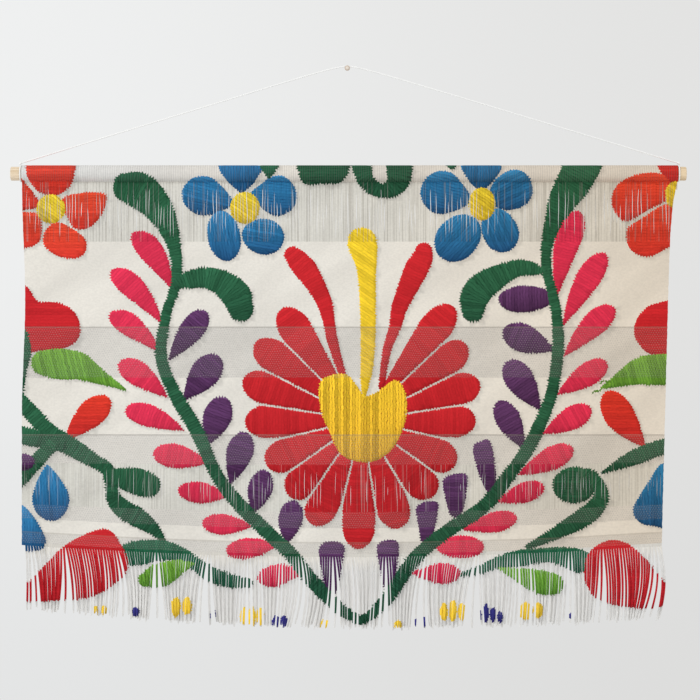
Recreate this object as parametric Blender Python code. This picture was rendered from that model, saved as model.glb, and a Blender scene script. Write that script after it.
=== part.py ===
"""A fringed woven wall hanging on a wooden rod, hung by a cord from a wall pin.

Metres, +Z up, +X to the viewer's right, +Y into the wall. The origin is on the pin's axis, in the
plane of the wall. The cloth hangs in front of the wall, so all but the pin's point has negative Y.
"""

import math
from collections import namedtuple

import bmesh
import bpy

# Driving dimensions
WOVEN_WIDTH = 0.900
CLOTH_THICKNESS = 0.0016
CLEARANCE = 0.0003
ROD_RADIUS = 0.0095
ROD_LENGTH = 0.9268
ROD_DROP = 0.1453
ROD_STAND_OFF = 0.0130
ROD_SHIFT = 0.0016
CORD_RADIUS = 0.0010
KNOT_RADIUS = 0.0022
KNOT_SLOPE = 0.30
FRINGE_LENGTH = 0.098
STRAND_COUNT = 240

# The rod lies along X at this place
ROD_Y = -ROD_STAND_OFF
ROD_Z = -ROD_DROP
ROD_SIDES = 32
ROD_CHAMFER = 0.0008

# The rod pocket is the cloth's top edge turned over the rod and sewn down
POCKET_LEFT = -0.4467
POCKET_RIGHT = POCKET_LEFT + WOVEN_WIDTH
POCKET_INNER = ROD_RADIUS + 1.5 * CLEARANCE
POCKET_OUTER = POCKET_INNER + CLOTH_THICKNESS
POCKET_STEPS = 19
SEAM_Z = ROD_Z - POCKET_OUTER
HEM_FLAP = 0.010
HEM_EDGE = 0.0004

# The woven field, measured down from the seam
FIELD_DEPTH = 0.4979
BOW = 0.0164
BOW_START = 0.340
BOW_LENGTH = 0.160
LEFT_WAIST = 0.0045
LEFT_WAIST_LENGTH = 0.330
RIGHT_HEM = 0.4313
RIGHT_TAPER = 0.0130
RIGHT_FLARE = 0.0090
RIGHT_FLARE_LENGTH = 0.035
COLUMNS = 38
ROWS = 16

# Soft folds of the hanging field. Each runs from x_top to x_hem, is a bell of that half width, and
# stands out by rise, towards the viewer where it is positive. It fades in below the depth from_depth.
Fold = namedtuple("Fold", "x_top x_hem half_width rise from_depth")
FOLDS = (
    Fold(-0.430, -0.436, 0.022, 0.0025, 0.060),
    Fold(-0.330, -0.352, 0.055, -0.0030, 0.090),
    Fold(-0.150, -0.170, 0.060, 0.0025, 0.200),
    Fold(0.000, 0.010, 0.110, 0.0035, 0.150),
    Fold(0.185, 0.160, 0.045, -0.0030, 0.120),
    Fold(0.300, 0.285, 0.050, 0.0030, 0.060),
    Fold(0.395, 0.372, 0.030, -0.0025, 0.040),
    Fold(0.440, 0.428, 0.018, 0.0030, 0.030),
)
FOLD_FADE = 0.160

# The fringe: the last rows of the weave carry the strands
STRIP_HEIGHT = 0.0040
BARE_CORNER = 0.0045
STRAND_WIDTH = 0.0031
STRAND_THICKNESS = 0.0013
STRAND_LAYER = 0.0010
STRAND_STOPS = (0.0, 0.15, 0.42, 0.71, 1.0)
LAYER_STOP = 0.15

# The strands hang in bunches with gaps between them. Inside a bunch, neighbours close up to this
# share of their spacing at the weave, and the gaps take the room that this frees.
BUNCHED = 0.55
BUNCH_SPREAD = 0.8

# The gaps come where these waves add up: (turn, start) pairs in radians per strand and radians
BUNCH_WAVES = ((0.93, 0.4), (0.37, 1.9), (1.61, 4.2))

# Single waves of the fringe, where strands near the place x drift sideways together: tip is the
# drift at their tips and belly the drift at the middle of their length
Bend = namedtuple("Bend", "x half_width tip belly")
BENDS = (
    Bend(-0.420, 0.045, 0.0020, 0.0010),
    Bend(-0.330, 0.060, 0.0060, 0.0040),
    Bend(-0.215, 0.050, -0.0040, -0.0020),
    Bend(-0.055, 0.030, -0.0050, 0.0060),
    Bend(0.020, 0.050, 0.0040, 0.0020),
    Bend(0.130, 0.060, -0.0050, -0.0030),
    Bend(0.245, 0.045, 0.0040, 0.0030),
    Bend(0.370, 0.040, 0.0060, 0.0030),
    Bend(0.425, 0.030, -0.0030, 0.0065),
)

# Strands are cut by eye: longer to the right and in the middle, and ragged
SLANT = 0.0060
MIDDLE_DROP = 0.0040
RAGGED = 0.0035

# Cord loops tied round the rod just outside the pocket
LOOP_RING = ROD_RADIUS + CORD_RADIUS + 1.5 * CLEARANCE
LOOP_LEFT = POCKET_LEFT - 2.0 * CLEARANCE - CORD_RADIUS
LOOP_RIGHT = POCKET_RIGHT + 2.0 * CLEARANCE + CORD_RADIUS
LOOP_STEPS = 32
CORD_SIDES = 8
KNOT_Z = ROD_Z + LOOP_RING + CORD_RADIUS + CLEARANCE + KNOT_RADIUS

# The pin, turned about Y from (place, radius) pairs. Its point goes into the wall.
PIN_SHANK = 0.0011
PIN_PROFILE = (
    (-0.0136, 0.0000),
    (-0.0134, 0.0014),
    (-0.0128, 0.0026),
    (-0.0119, 0.0034),
    (-0.0112, 0.0037),
    (-0.0107, 0.0035),
    (-0.0105, PIN_SHANK),
    (0.0110, PIN_SHANK),
    (0.0145, 0.0000),
)
PIN_SIDES = 20
CORD_ON_PIN_Y = -0.0085
CORD_ON_PIN_Z = PIN_SHANK + CLEARANCE + CORD_RADIUS

# The cord's route between its two knots, chosen by hand: it is drawn tight by the rod's weight and
# rounds over the pin
CORD_ROUTE = (
    (LOOP_LEFT, ROD_Y, KNOT_Z),
    (-0.4400, -0.0129, -0.1283),
    (-0.3600, -0.0121, -0.1035),
    (-0.2800, -0.0113, -0.0790),
    (-0.2000, -0.0105, -0.0544),
    (-0.1400, -0.0099, -0.0360),
    (-0.0900, -0.0094, -0.0207),
    (-0.0500, -0.0090, -0.0087),
    (-0.0250, -0.0087, -0.0017),
    (-0.0100, -0.0085, 0.0016),
    (0.0000, CORD_ON_PIN_Y, CORD_ON_PIN_Z),
    (0.0100, -0.0085, 0.0016),
    (0.0250, -0.0087, -0.0017),
    (0.0500, -0.0090, -0.0086),
    (0.0900, -0.0094, -0.0204),
    (0.1400, -0.0099, -0.0354),
    (0.2000, -0.0105, -0.0535),
    (0.2800, -0.0113, -0.0777),
    (0.3600, -0.0121, -0.1019),
    (0.4460, -0.0129, -0.1281),
    (LOOP_RIGHT, ROD_Y, KNOT_Z),
)
CORD_POINTS = 76
CURVE_STEPS = 24

# A knot's outline along the cord, as shares of its radius at shares of its half length
KNOT_OUTLINE = ((-1.0, 0.30), (-0.75, 0.80), (-0.30, 1.0), (0.30, 1.0), (0.75, 0.80), (1.15, 0.50))


def clear_scene():
    for obj in list(bpy.data.objects):
        bpy.data.objects.remove(obj, do_unlink=True)


def material(name, colour, roughness, metallic=0.0):
    made = bpy.data.materials.new(name)
    made.use_nodes = True
    shader = made.node_tree.nodes["Principled BSDF"]
    shader.inputs["Base Color"].default_value = (*colour, 1.0)
    shader.inputs["Roughness"].default_value = roughness
    shader.inputs["Metallic"].default_value = metallic
    return made


def add_object(name, bm, finish, smooth_angle=None):
    """Makes an object of a bmesh whose faces all point out."""
    bmesh.ops.recalc_face_normals(bm, faces=bm.faces)
    mesh = bpy.data.meshes.new(name)
    bm.to_mesh(mesh)
    bm.free()
    mesh.materials.append(finish)
    if smooth_angle is not None:
        mesh.shade_smooth()
        mesh.set_sharp_from_angle(angle=math.radians(smooth_angle))
    obj = bpy.data.objects.new(name, mesh)
    bpy.context.scene.collection.objects.link(obj)
    return obj


def smooth_step(value):
    share = min(max(value, 0.0), 1.0)
    return share * share * (3.0 - 2.0 * share)


def bow_at(x, depth):
    """How far the weave's rows dip below level in the middle of the cloth."""
    middle = 1.0 - (2.0 * x / WOVEN_WIDTH) ** 2
    return BOW * middle * smooth_step((depth - BOW_START) / BOW_LENGTH)


def left_edge(depth):
    waist = math.sin(math.pi * depth / LEFT_WAIST_LENGTH) ** 2 if depth < LEFT_WAIST_LENGTH else 0.0
    return POCKET_LEFT + LEFT_WAIST * waist


def right_edge(depth):
    taper = RIGHT_TAPER * (1.0 - depth / FIELD_DEPTH)
    return RIGHT_HEM + taper + RIGHT_FLARE * math.exp(-depth / RIGHT_FLARE_LENGTH)


def fold_at(x, depth):
    """How far the cloth stands out from its flat plane, towards the viewer."""
    total = 0.0
    for fold in FOLDS:
        line = fold.x_top + (fold.x_hem - fold.x_top) * depth / FIELD_DEPTH
        bell = math.exp(-(((x - line) / fold.half_width) ** 2))
        total += fold.rise * bell * smooth_step((depth - fold.from_depth) / FOLD_FADE)
    return total


def cloth_point(share, depth, behind):
    """A point of the hanging cloth: share across it, depth down the weave, behind its middle plane."""
    x = left_edge(depth) + share * (right_edge(depth) - left_edge(depth))
    return (x, ROD_Y - fold_at(x, depth) + behind, SEAM_Z - depth - bow_at(x, depth))


def pocket_point(x, angle, radius):
    """A point round the rod. The angle runs from the bottom to the front, the top and the back."""
    return (x, ROD_Y - radius * math.sin(angle), ROD_Z - radius * math.cos(angle))


def pocket_angles():
    """Angles of the pocket's wall, from the front of the seam right round to the hem flap's back."""
    front = math.asin(0.5 * CLOTH_THICKNESS / POCKET_OUTER)
    back = 2.0 * math.pi - math.asin(1.5 * CLOTH_THICKNESS / POCKET_OUTER)
    return [front + (back - front) * i / POCKET_STEPS for i in range(POCKET_STEPS + 1)]


def field_depths():
    """Depths of the field's rows below the seam, with the hem flap's lower edge among them."""
    hem = FIELD_DEPTH - STRIP_HEIGHT - CLEARANCE
    rows = [0.5 * HEM_FLAP, HEM_FLAP, HEM_FLAP + HEM_EDGE]
    return rows + [rows[-1] + (hem - rows[-1]) * i / ROWS for i in range(1, ROWS + 1)]


def grid_faces(bm, columns, closed):
    """Quads between neighbouring columns of vertices. closed joins each column's end to its start."""
    for left, right in zip(columns, columns[1:]):
        last = len(left) if closed else len(left) - 1
        for k in range(last):
            after = (k + 1) % len(left)
            bm.faces.new((left[k], left[after], right[after], right[k]))


def build_cloth(finish):
    """The woven panel with its rod pocket: one turned-over sheet, sewn at the seam."""
    bm = bmesh.new()
    outlines, bores = [], []
    half = 0.5 * CLOTH_THICKNESS
    for i in range(COLUMNS + 1):
        share = i / COLUMNS
        pocket_x = POCKET_LEFT + share * WOVEN_WIDTH
        front = [cloth_point(share, depth, -half) for depth in field_depths()]
        layers = [half + CLOTH_THICKNESS * (depth <= HEM_FLAP) for depth in field_depths()]
        back = [cloth_point(share, depth, behind) for depth, behind in zip(field_depths(), layers)]
        wall = [pocket_point(pocket_x, angle, POCKET_OUTER) for angle in pocket_angles()]
        bore = [pocket_point(pocket_x, angle, POCKET_INNER) for angle in pocket_angles()]
        outlines.append([bm.verts.new(p) for p in front[::-1] + wall + back])
        bores.append([bm.verts.new(p) for p in bore])
    grid_faces(bm, outlines, True)
    grid_faces(bm, bores, True)
    rows = len(field_depths())
    for outline, bore in ((outlines[0], bores[0]), (outlines[-1], bores[-1])):
        wall = outline[rows : len(outline) - rows]
        for k in range(POCKET_STEPS):
            bm.faces.new((wall[k], wall[k + 1], bore[k + 1], bore[k]))
        bm.faces.new((wall[-1], wall[0], bore[0], bore[-1]))
        front, back = outline[rows::-1], outline[len(outline) - rows - 1 :]
        for k in range(rows):
            bm.faces.new((front[k], front[k + 1], back[k + 1], back[k]))
    return add_object("cloth", bm, finish, 30)


def strand_roots():
    """The middle of each strand where it leaves the weave."""
    start = left_edge(FIELD_DEPTH) + BARE_CORNER
    pitch = (right_edge(FIELD_DEPTH) - start) / STRAND_COUNT
    return [start + pitch * (i + 0.5) for i in range(STRAND_COUNT)], pitch


def bunch_places(roots, pitch):
    """Where the strands would hang if they did nothing but bunch up."""
    gaps = []
    for i in range(STRAND_COUNT):
        wave = sum(math.sin(turn * i + start) for turn, start in BUNCH_WAVES)
        gaps.append(max(wave, 0.0) ** 2)
    mean = sum(gaps) / STRAND_COUNT
    places, place = [], roots[0] - 0.5 * pitch
    for gap in gaps:
        room = pitch * (BUNCHED + (1.0 - BUNCHED) * gap / mean)
        places.append(place + 0.5 * room)
        place += room
    return places


def bend_at(x, share):
    """Sideways drift that the strands near x share, at that share of the fringe's length."""
    total = 0.0
    for bend in BENDS:
        bell = math.exp(-(((x - bend.x) / bend.half_width) ** 2))
        total += bell * (bend.tip * share + bend.belly * math.sin(math.pi * min(share, 1.0)))
    return total


def strand_places(share):
    """The middle of every strand at that share of the fringe's length."""
    roots, pitch = strand_roots()
    along = share**BUNCH_SPREAD
    places = []
    for root, bunched in zip(roots, bunch_places(roots, pitch)):
        place = root + (bunched - root) * along + bend_at(root, share)
        if places:
            place = max(place, places[-1] + 0.5 * (STRAND_WIDTH + CLEARANCE))
        places.append(place)
    return places


def strand_length(index, x):
    """Strands are cut unevenly, longer to the right and in the middle."""
    side = 2.0 * x / WOVEN_WIDTH
    ragged = 0.6 * math.sin(2.3 * index) + 0.4 * math.sin(5.1 * index + 1.0)
    return FRINGE_LENGTH - MIDDLE_DROP + MIDDLE_DROP * (1.0 - side**2) + SLANT * side + RAGGED * ragged


def strand_rings(index, places, root_y, root_z):
    """The four corners of a strand's section at each stop, from its root to its tip."""
    length = strand_length(index, places[0][index])
    layer = STRAND_LAYER * (1.0 if index % 2 else -1.0)
    wide = 0.5 * STRAND_WIDTH
    rings = []
    for stop, row in zip(STRAND_STOPS, places):
        settled = smooth_step(stop / LAYER_STOP)
        x, y = row[index], root_y + layer * settled
        thick = 0.5 * (CLOTH_THICKNESS + (STRAND_THICKNESS - CLOTH_THICKNESS) * settled)
        z = root_z - (length if stop == STRAND_STOPS[-1] else stop * FRINGE_LENGTH)
        front = [(x - wide, y - thick, z), (x + wide, y - thick, z)]
        back = [(x + wide, y + thick, z), (x - wide, y + thick, z)]
        rings.append(front + back)
    return rings


def strip_point(x, above, behind):
    """A point of the fringe's strip: above its lower edge, behind its middle plane."""
    y = ROD_Y - fold_at(x, FIELD_DEPTH) + behind
    return (x, y, SEAM_Z - FIELD_DEPTH - bow_at(x, FIELD_DEPTH) + above)


def build_fringe(finish):
    """The strands and the strip of weave that they hang from, as one solid."""
    bm = bmesh.new()
    half = 0.5 * CLOTH_THICKNESS
    places = [strand_places(stop) for stop in STRAND_STOPS]
    roots, pitch = strand_roots()
    edges = [left_edge(FIELD_DEPTH)] + [root + 0.5 * pitch for root in roots]
    tops = [[bm.verts.new(strip_point(x, STRIP_HEIGHT, side)) for side in (-half, half)] for x in edges]
    feet = [[bm.verts.new(strip_point(x, 0.0, side)) for side in (-half, half)] for x in edges]
    for i, root_x in enumerate(roots):
        _, root_y, root_z = strip_point(root_x, 0.0, 0.0)
        rings = [[bm.verts.new(p) for p in ring] for ring in strand_rings(i, places, root_y, root_z)]
        root, left, right = rings[0], feet[i], feet[i + 1]
        for upper, lower in zip(rings, rings[1:]):
            for k in range(4):
                after = (k + 1) % 4
                bm.faces.new((upper[k], upper[after], lower[after], lower[k]))
        bm.faces.new(rings[-1])
        bm.faces.new((tops[i][0], tops[i + 1][0], tops[i + 1][1], tops[i][1]))
        bm.faces.new((left[0], root[0], root[3], left[1]))
        bm.faces.new((root[1], right[0], right[1], root[2]))
        bm.faces.new((tops[i][0], left[0], root[0], root[1], right[0], tops[i + 1][0]))
        bm.faces.new((tops[i][1], left[1], root[3], root[2], right[1], tops[i + 1][1]))
    for top, foot in ((tops[0], feet[0]), (tops[-1], feet[-1])):
        bm.faces.new((top[0], top[1], foot[1], foot[0]))
    bmesh.ops.triangulate(bm, faces=[face for face in bm.faces if len(face.verts) > 4])
    return add_object("fringe", bm, finish)


def turned(name, profile, sides, axis, finish, angle):
    """A closed solid turned about X or Y from (place, radius) pairs. Radius 0 is a point on the axis."""
    bm = bmesh.new()
    rings = []
    for place, radius in profile:
        count = 1 if radius == 0.0 else sides
        ring = []
        for k in range(count):
            turn = 2.0 * math.pi * k / sides
            across, up = radius * math.cos(turn), radius * math.sin(turn)
            ring.append(bm.verts.new((place, across, up) if axis == "X" else (across, place, up)))
        rings.append(ring)
    for before, after in zip(rings, rings[1:]):
        for k in range(sides):
            corners = [before[k % len(before)], before[(k + 1) % len(before)]]
            corners += [after[(k + 1) % len(after)], after[k % len(after)]]
            bm.faces.new(tuple(dict.fromkeys(corners)))
    for ring in (rings[0], rings[-1]):
        if len(ring) > 1:
            bm.faces.new(ring)
    return add_object(name, bm, finish, angle)


def build_rod(finish):
    half = 0.5 * ROD_LENGTH
    inset = ROD_RADIUS - ROD_CHAMFER
    profile = ((-half, inset), (-half + ROD_CHAMFER, ROD_RADIUS))
    profile += ((half - ROD_CHAMFER, ROD_RADIUS), (half, inset))
    rod = turned("rod", profile, ROD_SIDES, "X", finish, 30)
    rod.location = (ROD_SHIFT, ROD_Y, ROD_Z)
    return rod


def build_pin(finish):
    return turned("pin", PIN_PROFILE, PIN_SIDES, "Y", finish, 40)


def build_loop(name, x, finish):
    """A turn of cord tied round the rod."""
    bm = bmesh.new()
    rings = []
    for i in range(LOOP_STEPS):
        angle = 2.0 * math.pi * i / LOOP_STEPS
        ring = []
        for k in range(CORD_SIDES):
            turn = 2.0 * math.pi * k / CORD_SIDES
            radius = LOOP_RING + CORD_RADIUS * math.cos(turn)
            ring.append(bm.verts.new(pocket_point(x + CORD_RADIUS * math.sin(turn), angle, radius)))
        rings.append(ring)
    grid_faces(bm, rings + rings[:1], True)
    return add_object(name, bm, finish, 50)


def curve_value(a, b, c, d, t):
    """A Catmull-Rom curve's value a share t of the way from b to c."""
    square = 2.0 * a - 5.0 * b + 4.0 * c - d
    cube = 3.0 * (b - c) + d - a
    return b + 0.5 * ((c - a) * t + square * t * t + cube * t**3)


def smooth_route(points, count):
    """Evenly spaced points on a smooth curve through the given ones."""
    padded = [points[0], *points, points[-1]]
    fine = []
    for corners in zip(padded, padded[1:], padded[2:], padded[3:]):
        for i in range(CURVE_STEPS):
            fine.append(tuple(curve_value(*axis, i / CURVE_STEPS) for axis in zip(*corners)))
    fine.append(points[-1])
    lengths = [0.0]
    for a, b in zip(fine, fine[1:]):
        lengths.append(lengths[-1] + math.dist(a, b))
    spaced, j = [], 0
    for i in range(count):
        wanted = lengths[-1] * i / (count - 1)
        while j < len(lengths) - 2 and lengths[j + 1] < wanted:
            j += 1
        share = (wanted - lengths[j]) / (lengths[j + 1] - lengths[j])
        spaced.append(tuple(a + share * (b - a) for a, b in zip(fine[j], fine[j + 1])))
    return spaced


def knot_points(centre, inward):
    """(point, radius) pairs of a knot whose cord leaves it towards inward, +1 or -1 along X."""
    knot = []
    for place, share in KNOT_OUTLINE:
        along = place * KNOT_RADIUS
        point = (centre[0] + inward * along, centre[1], centre[2] + KNOT_SLOPE * along)
        knot.append((point, share * KNOT_RADIUS))
    return knot


def build_cord(finish):
    """The hanging cord, one tube from knot to knot, over the pin."""
    line = smooth_route(CORD_ROUTE, CORD_POINTS)
    left, right = knot_points(line[0], 1.0), knot_points(line[-1], -1.0)
    middle = [(point, CORD_RADIUS) for point in line[1:-1]]
    route = left + middle + right[::-1]
    curve = bpy.data.curves.new("hanging_cord", "CURVE")
    curve.dimensions = "3D"
    curve.bevel_depth = 1.0
    curve.bevel_resolution = 2
    curve.use_fill_caps = True
    spline = curve.splines.new("POLY")
    spline.points.add(len(route) - 1)
    for target, (point, radius) in zip(spline.points, route):
        target.co = (*point, 1.0)
        target.radius = radius
    curve.materials.append(finish)
    cord = bpy.data.objects.new("hanging_cord", curve)
    bpy.context.scene.collection.objects.link(cord)
    return cord


def main():
    clear_scene()
    cotton = material("printed_cotton", (0.80, 0.76, 0.68), 0.9)
    yarn = material("fringe_cotton", (0.82, 0.79, 0.72), 0.9)
    wood = material("pale_wood", (0.72, 0.55, 0.36), 0.55)
    cord = material("white_cord", (0.86, 0.85, 0.82), 0.7)
    enamel = material("beige_enamel", (0.69, 0.61, 0.54), 0.45)
    build_rod(wood)
    build_cloth(cotton)
    build_fringe(yarn)
    build_loop("cord_loop_left", LOOP_LEFT, cord)
    build_loop("cord_loop_right", LOOP_RIGHT, cord)
    build_cord(cord)
    build_pin(enamel)


main()
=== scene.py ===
"""Looks of a fringed, printed hanging on a wooden rod, hung by a cord from a pin.

Metres, +Z up, +X to the viewer's right, +Y away from the viewer, origin on the pin's axis in the
plane that the pin is pushed into. The woven sheet is made flat from a chart of its
flowers and leaves, and is then hung on the solids' own folds.
"""

import math
import random
from collections import namedtuple

import bmesh
import bpy
import numpy as np
from mathutils.geometry import delaunay_2d_cdt
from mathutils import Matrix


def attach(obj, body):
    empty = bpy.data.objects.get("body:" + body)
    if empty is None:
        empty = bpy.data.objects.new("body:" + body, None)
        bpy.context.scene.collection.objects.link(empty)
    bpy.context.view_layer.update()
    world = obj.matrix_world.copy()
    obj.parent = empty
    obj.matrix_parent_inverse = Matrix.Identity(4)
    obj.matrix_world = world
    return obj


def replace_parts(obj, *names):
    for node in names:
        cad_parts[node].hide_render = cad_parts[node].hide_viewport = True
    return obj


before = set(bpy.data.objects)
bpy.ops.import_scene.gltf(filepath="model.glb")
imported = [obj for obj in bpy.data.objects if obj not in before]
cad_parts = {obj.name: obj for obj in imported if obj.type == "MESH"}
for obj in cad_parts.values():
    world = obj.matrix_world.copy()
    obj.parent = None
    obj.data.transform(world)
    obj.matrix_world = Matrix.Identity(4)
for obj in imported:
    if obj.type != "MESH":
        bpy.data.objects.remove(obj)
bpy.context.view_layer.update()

# Sizes of the solids, repeated so that each piece lies where its solid is
WOVEN_WIDTH = 0.900
CLOTH_THICKNESS = 0.0016
HALF_THICKNESS = 0.5 * CLOTH_THICKNESS
CLEARANCE = 0.0003
ROD_RADIUS = 0.0095
ROD_Y = -0.0130
ROD_Z = -0.1453
CORD_RADIUS = 0.0010
KNOT_RADIUS = 0.0022
KNOT_SLOPE = 0.30
FRINGE_LENGTH = 0.098
STRAND_COUNT = 240
POCKET_LEFT = -0.4467
POCKET_RIGHT = POCKET_LEFT + WOVEN_WIDTH
POCKET_INNER = ROD_RADIUS + 1.5 * CLEARANCE
POCKET_OUTER = POCKET_INNER + CLOTH_THICKNESS
SEAM_Z = ROD_Z - POCKET_OUTER
HEM_FLAP = 0.010
FIELD_DEPTH = 0.4979
BOW = 0.0164
BOW_START = 0.340
BOW_LENGTH = 0.160
LEFT_WAIST = 0.0045
LEFT_WAIST_LENGTH = 0.330
RIGHT_HEM = 0.4313
RIGHT_TAPER = 0.0130
RIGHT_FLARE = 0.0090
RIGHT_FLARE_LENGTH = 0.035
STRIP_HEIGHT = 0.0040
BARE_CORNER = 0.0045
STRAND_WIDTH = 0.0031
STRAND_LAYER = 0.0010
LAYER_STOP = 0.15
BUNCHED = 0.55
BUNCH_SPREAD = 0.8
BUNCH_WAVES = ((0.93, 0.4), (0.37, 1.9), (1.61, 4.2))
SLANT = 0.0060
MIDDLE_DROP = 0.0040
RAGGED = 0.0035
LOOP_RING = ROD_RADIUS + CORD_RADIUS + 1.5 * CLEARANCE
LOOP_LEFT = POCKET_LEFT - 2.0 * CLEARANCE - CORD_RADIUS
LOOP_RIGHT = POCKET_RIGHT + 2.0 * CLEARANCE + CORD_RADIUS
KNOT_Z = ROD_Z + LOOP_RING + CORD_RADIUS + CLEARANCE + KNOT_RADIUS
CORD_ON_PIN_Y = -0.0085
CORD_ON_PIN_Z = 0.0024

# Soft folds of the field and sideways waves of the fringe, as in the solids
Fold = namedtuple("Fold", "x_top x_hem half_width rise from_depth")
FOLDS = (
    Fold(-0.430, -0.436, 0.022, 0.0025, 0.060),
    Fold(-0.330, -0.352, 0.055, -0.0030, 0.090),
    Fold(-0.150, -0.170, 0.060, 0.0025, 0.200),
    Fold(0.000, 0.010, 0.110, 0.0035, 0.150),
    Fold(0.185, 0.160, 0.045, -0.0030, 0.120),
    Fold(0.300, 0.285, 0.050, 0.0030, 0.060),
    Fold(0.395, 0.372, 0.030, -0.0025, 0.040),
    Fold(0.440, 0.428, 0.018, 0.0030, 0.030),
)
FOLD_FADE = 0.160
Bend = namedtuple("Bend", "x half_width tip belly")
BENDS = (
    Bend(-0.420, 0.045, 0.0020, 0.0010),
    Bend(-0.330, 0.060, 0.0060, 0.0040),
    Bend(-0.215, 0.050, -0.0040, -0.0020),
    Bend(-0.055, 0.030, -0.0050, 0.0060),
    Bend(0.020, 0.050, 0.0040, 0.0020),
    Bend(0.130, 0.060, -0.0050, -0.0030),
    Bend(0.245, 0.045, 0.0040, 0.0030),
    Bend(0.370, 0.040, 0.0060, 0.0030),
    Bend(0.425, 0.030, -0.0030, 0.0065),
)

# The cord's route between its two knots, the same points as in its solid
CORD_ROUTE = (
    (LOOP_LEFT, ROD_Y, KNOT_Z),
    (-0.4400, -0.0129, -0.1283),
    (-0.3600, -0.0121, -0.1035),
    (-0.2800, -0.0113, -0.0790),
    (-0.2000, -0.0105, -0.0544),
    (-0.1400, -0.0099, -0.0360),
    (-0.0900, -0.0094, -0.0207),
    (-0.0500, -0.0090, -0.0087),
    (-0.0250, -0.0087, -0.0017),
    (-0.0100, -0.0085, 0.0016),
    (0.0000, CORD_ON_PIN_Y, CORD_ON_PIN_Z),
    (0.0100, -0.0085, 0.0016),
    (0.0250, -0.0087, -0.0017),
    (0.0500, -0.0090, -0.0086),
    (0.0900, -0.0094, -0.0204),
    (0.1400, -0.0099, -0.0354),
    (0.2000, -0.0105, -0.0535),
    (0.2800, -0.0113, -0.0777),
    (0.3600, -0.0121, -0.1019),
    (0.4460, -0.0129, -0.1281),
    (LOOP_RIGHT, ROD_Y, KNOT_Z),
)
CORD_POINTS = 121
CURVE_STEPS = 24

# The photograph's frame: metres for each of its pixels at the cloth, and the pin's place in it.
# The chart of motifs below is drawn on this frame, x to the right and y down.
PIXEL = 0.0013732
PIN_COLUMN = 347.3
PIN_ROW = 67.9
PHOTO_SIDE = 700

# Bands of the weave, by their top edge's depth below the seam
Band = namedtuple("Band", "top weave")
BANDS = (
    Band(0.0000, "open"),
    Band(0.0809, "plain"),
    Band(0.1983, "dotted"),
    Band(0.2676, "plain"),
    Band(0.3459, "dotted"),
    Band(0.3844, "open"),
    Band(0.4407, "dotted"),
    Band(0.4606, "plain"),
    Band(0.4791, "dotted"),
)
THREAD_PITCH = 0.0042
DOT_PITCH = 0.0033
STITCH_PITCH = 2.9
RIB_PITCH = 0.0031

# Inks of the print, as screen colours from 0 to 255. A motif runs from its upper to its lower
# colour, its stitches are streaked by the third, and the way they run is worked out by style.
Ink = namedtuple("Ink", "upper lower streak amount style teeth")
INKS = {
    "ground": Ink((218, 214, 206), (218, 214, 206), (218, 214, 206), 0.0, "upright", 0.0),
    "green": Ink((44, 94, 66), (36, 78, 56), (12, 38, 26), 0.65, "across", 1.45),
    "leaf_green": Ink((40, 98, 70), (36, 84, 62), (12, 46, 34), 0.60, "across", 1.30),
    "blue": Ink((52, 130, 180), (30, 70, 110), (14, 42, 84), 0.58, "along", 0.85),
    "purple": Ink((96, 58, 102), (66, 38, 70), (34, 16, 40), 0.65, "across", 1.10),
    "pink": Ink((216, 52, 82), (190, 44, 70), (140, 22, 46), 0.38, "across", 1.10),
    "red": Ink((194, 40, 46), (174, 32, 38), (126, 16, 22), 0.32, "across", 1.00),
    "orange": Ink((224, 76, 50), (200, 52, 44), (140, 26, 22), 0.48, "level", 1.05),
    "orange_leaf": Ink((206, 56, 40), (180, 38, 40), (132, 24, 20), 0.45, "level", 0.95),
    "yellow": Ink((228, 202, 56), (208, 176, 44), (136, 92, 24), 0.65, "slant", 0.85),
    "stamen": Ink((228, 196, 48), (216, 180, 44), (150, 102, 26), 0.45, "slant", 1.00),
    "heart": Ink((228, 188, 48), (208, 160, 44), (116, 62, 22), 0.85, "upright", 1.05),
    "lime": Ink((116, 166, 58), (90, 136, 50), (34, 76, 30), 0.72, "tilted", 1.10),
    "mark_yellow": Ink((236, 200, 66), (232, 192, 56), (180, 130, 50), 0.40, "upright", 0.6),
    "mark_blue": Ink((60, 58, 126), (50, 48, 112), (30, 28, 80), 0.40, "upright", 0.6),
}

# Motifs as leaves and petals: a round head, a tail, the greatest width, how far down it comes, how
# far the middle bends out to the side, and whether the tail is blunt
LEAF_FIELDS = "ink head_x head_y tail_x tail_y width full bend blunt"
Leaf = namedtuple("Leaf", LEAF_FIELDS, defaults=(0.38, 0.0, False))

# Motifs as strokes: a spine of (x, y, width) places with a smooth curve through them
Stroke = namedtuple("Stroke", "ink spine")

# Motifs as round spots
Spot = namedtuple("Spot", "ink x y across down")

# Motifs as rounded patches: a smooth closed curve through a few places
Patch = namedtuple("Patch", "ink places")

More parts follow.
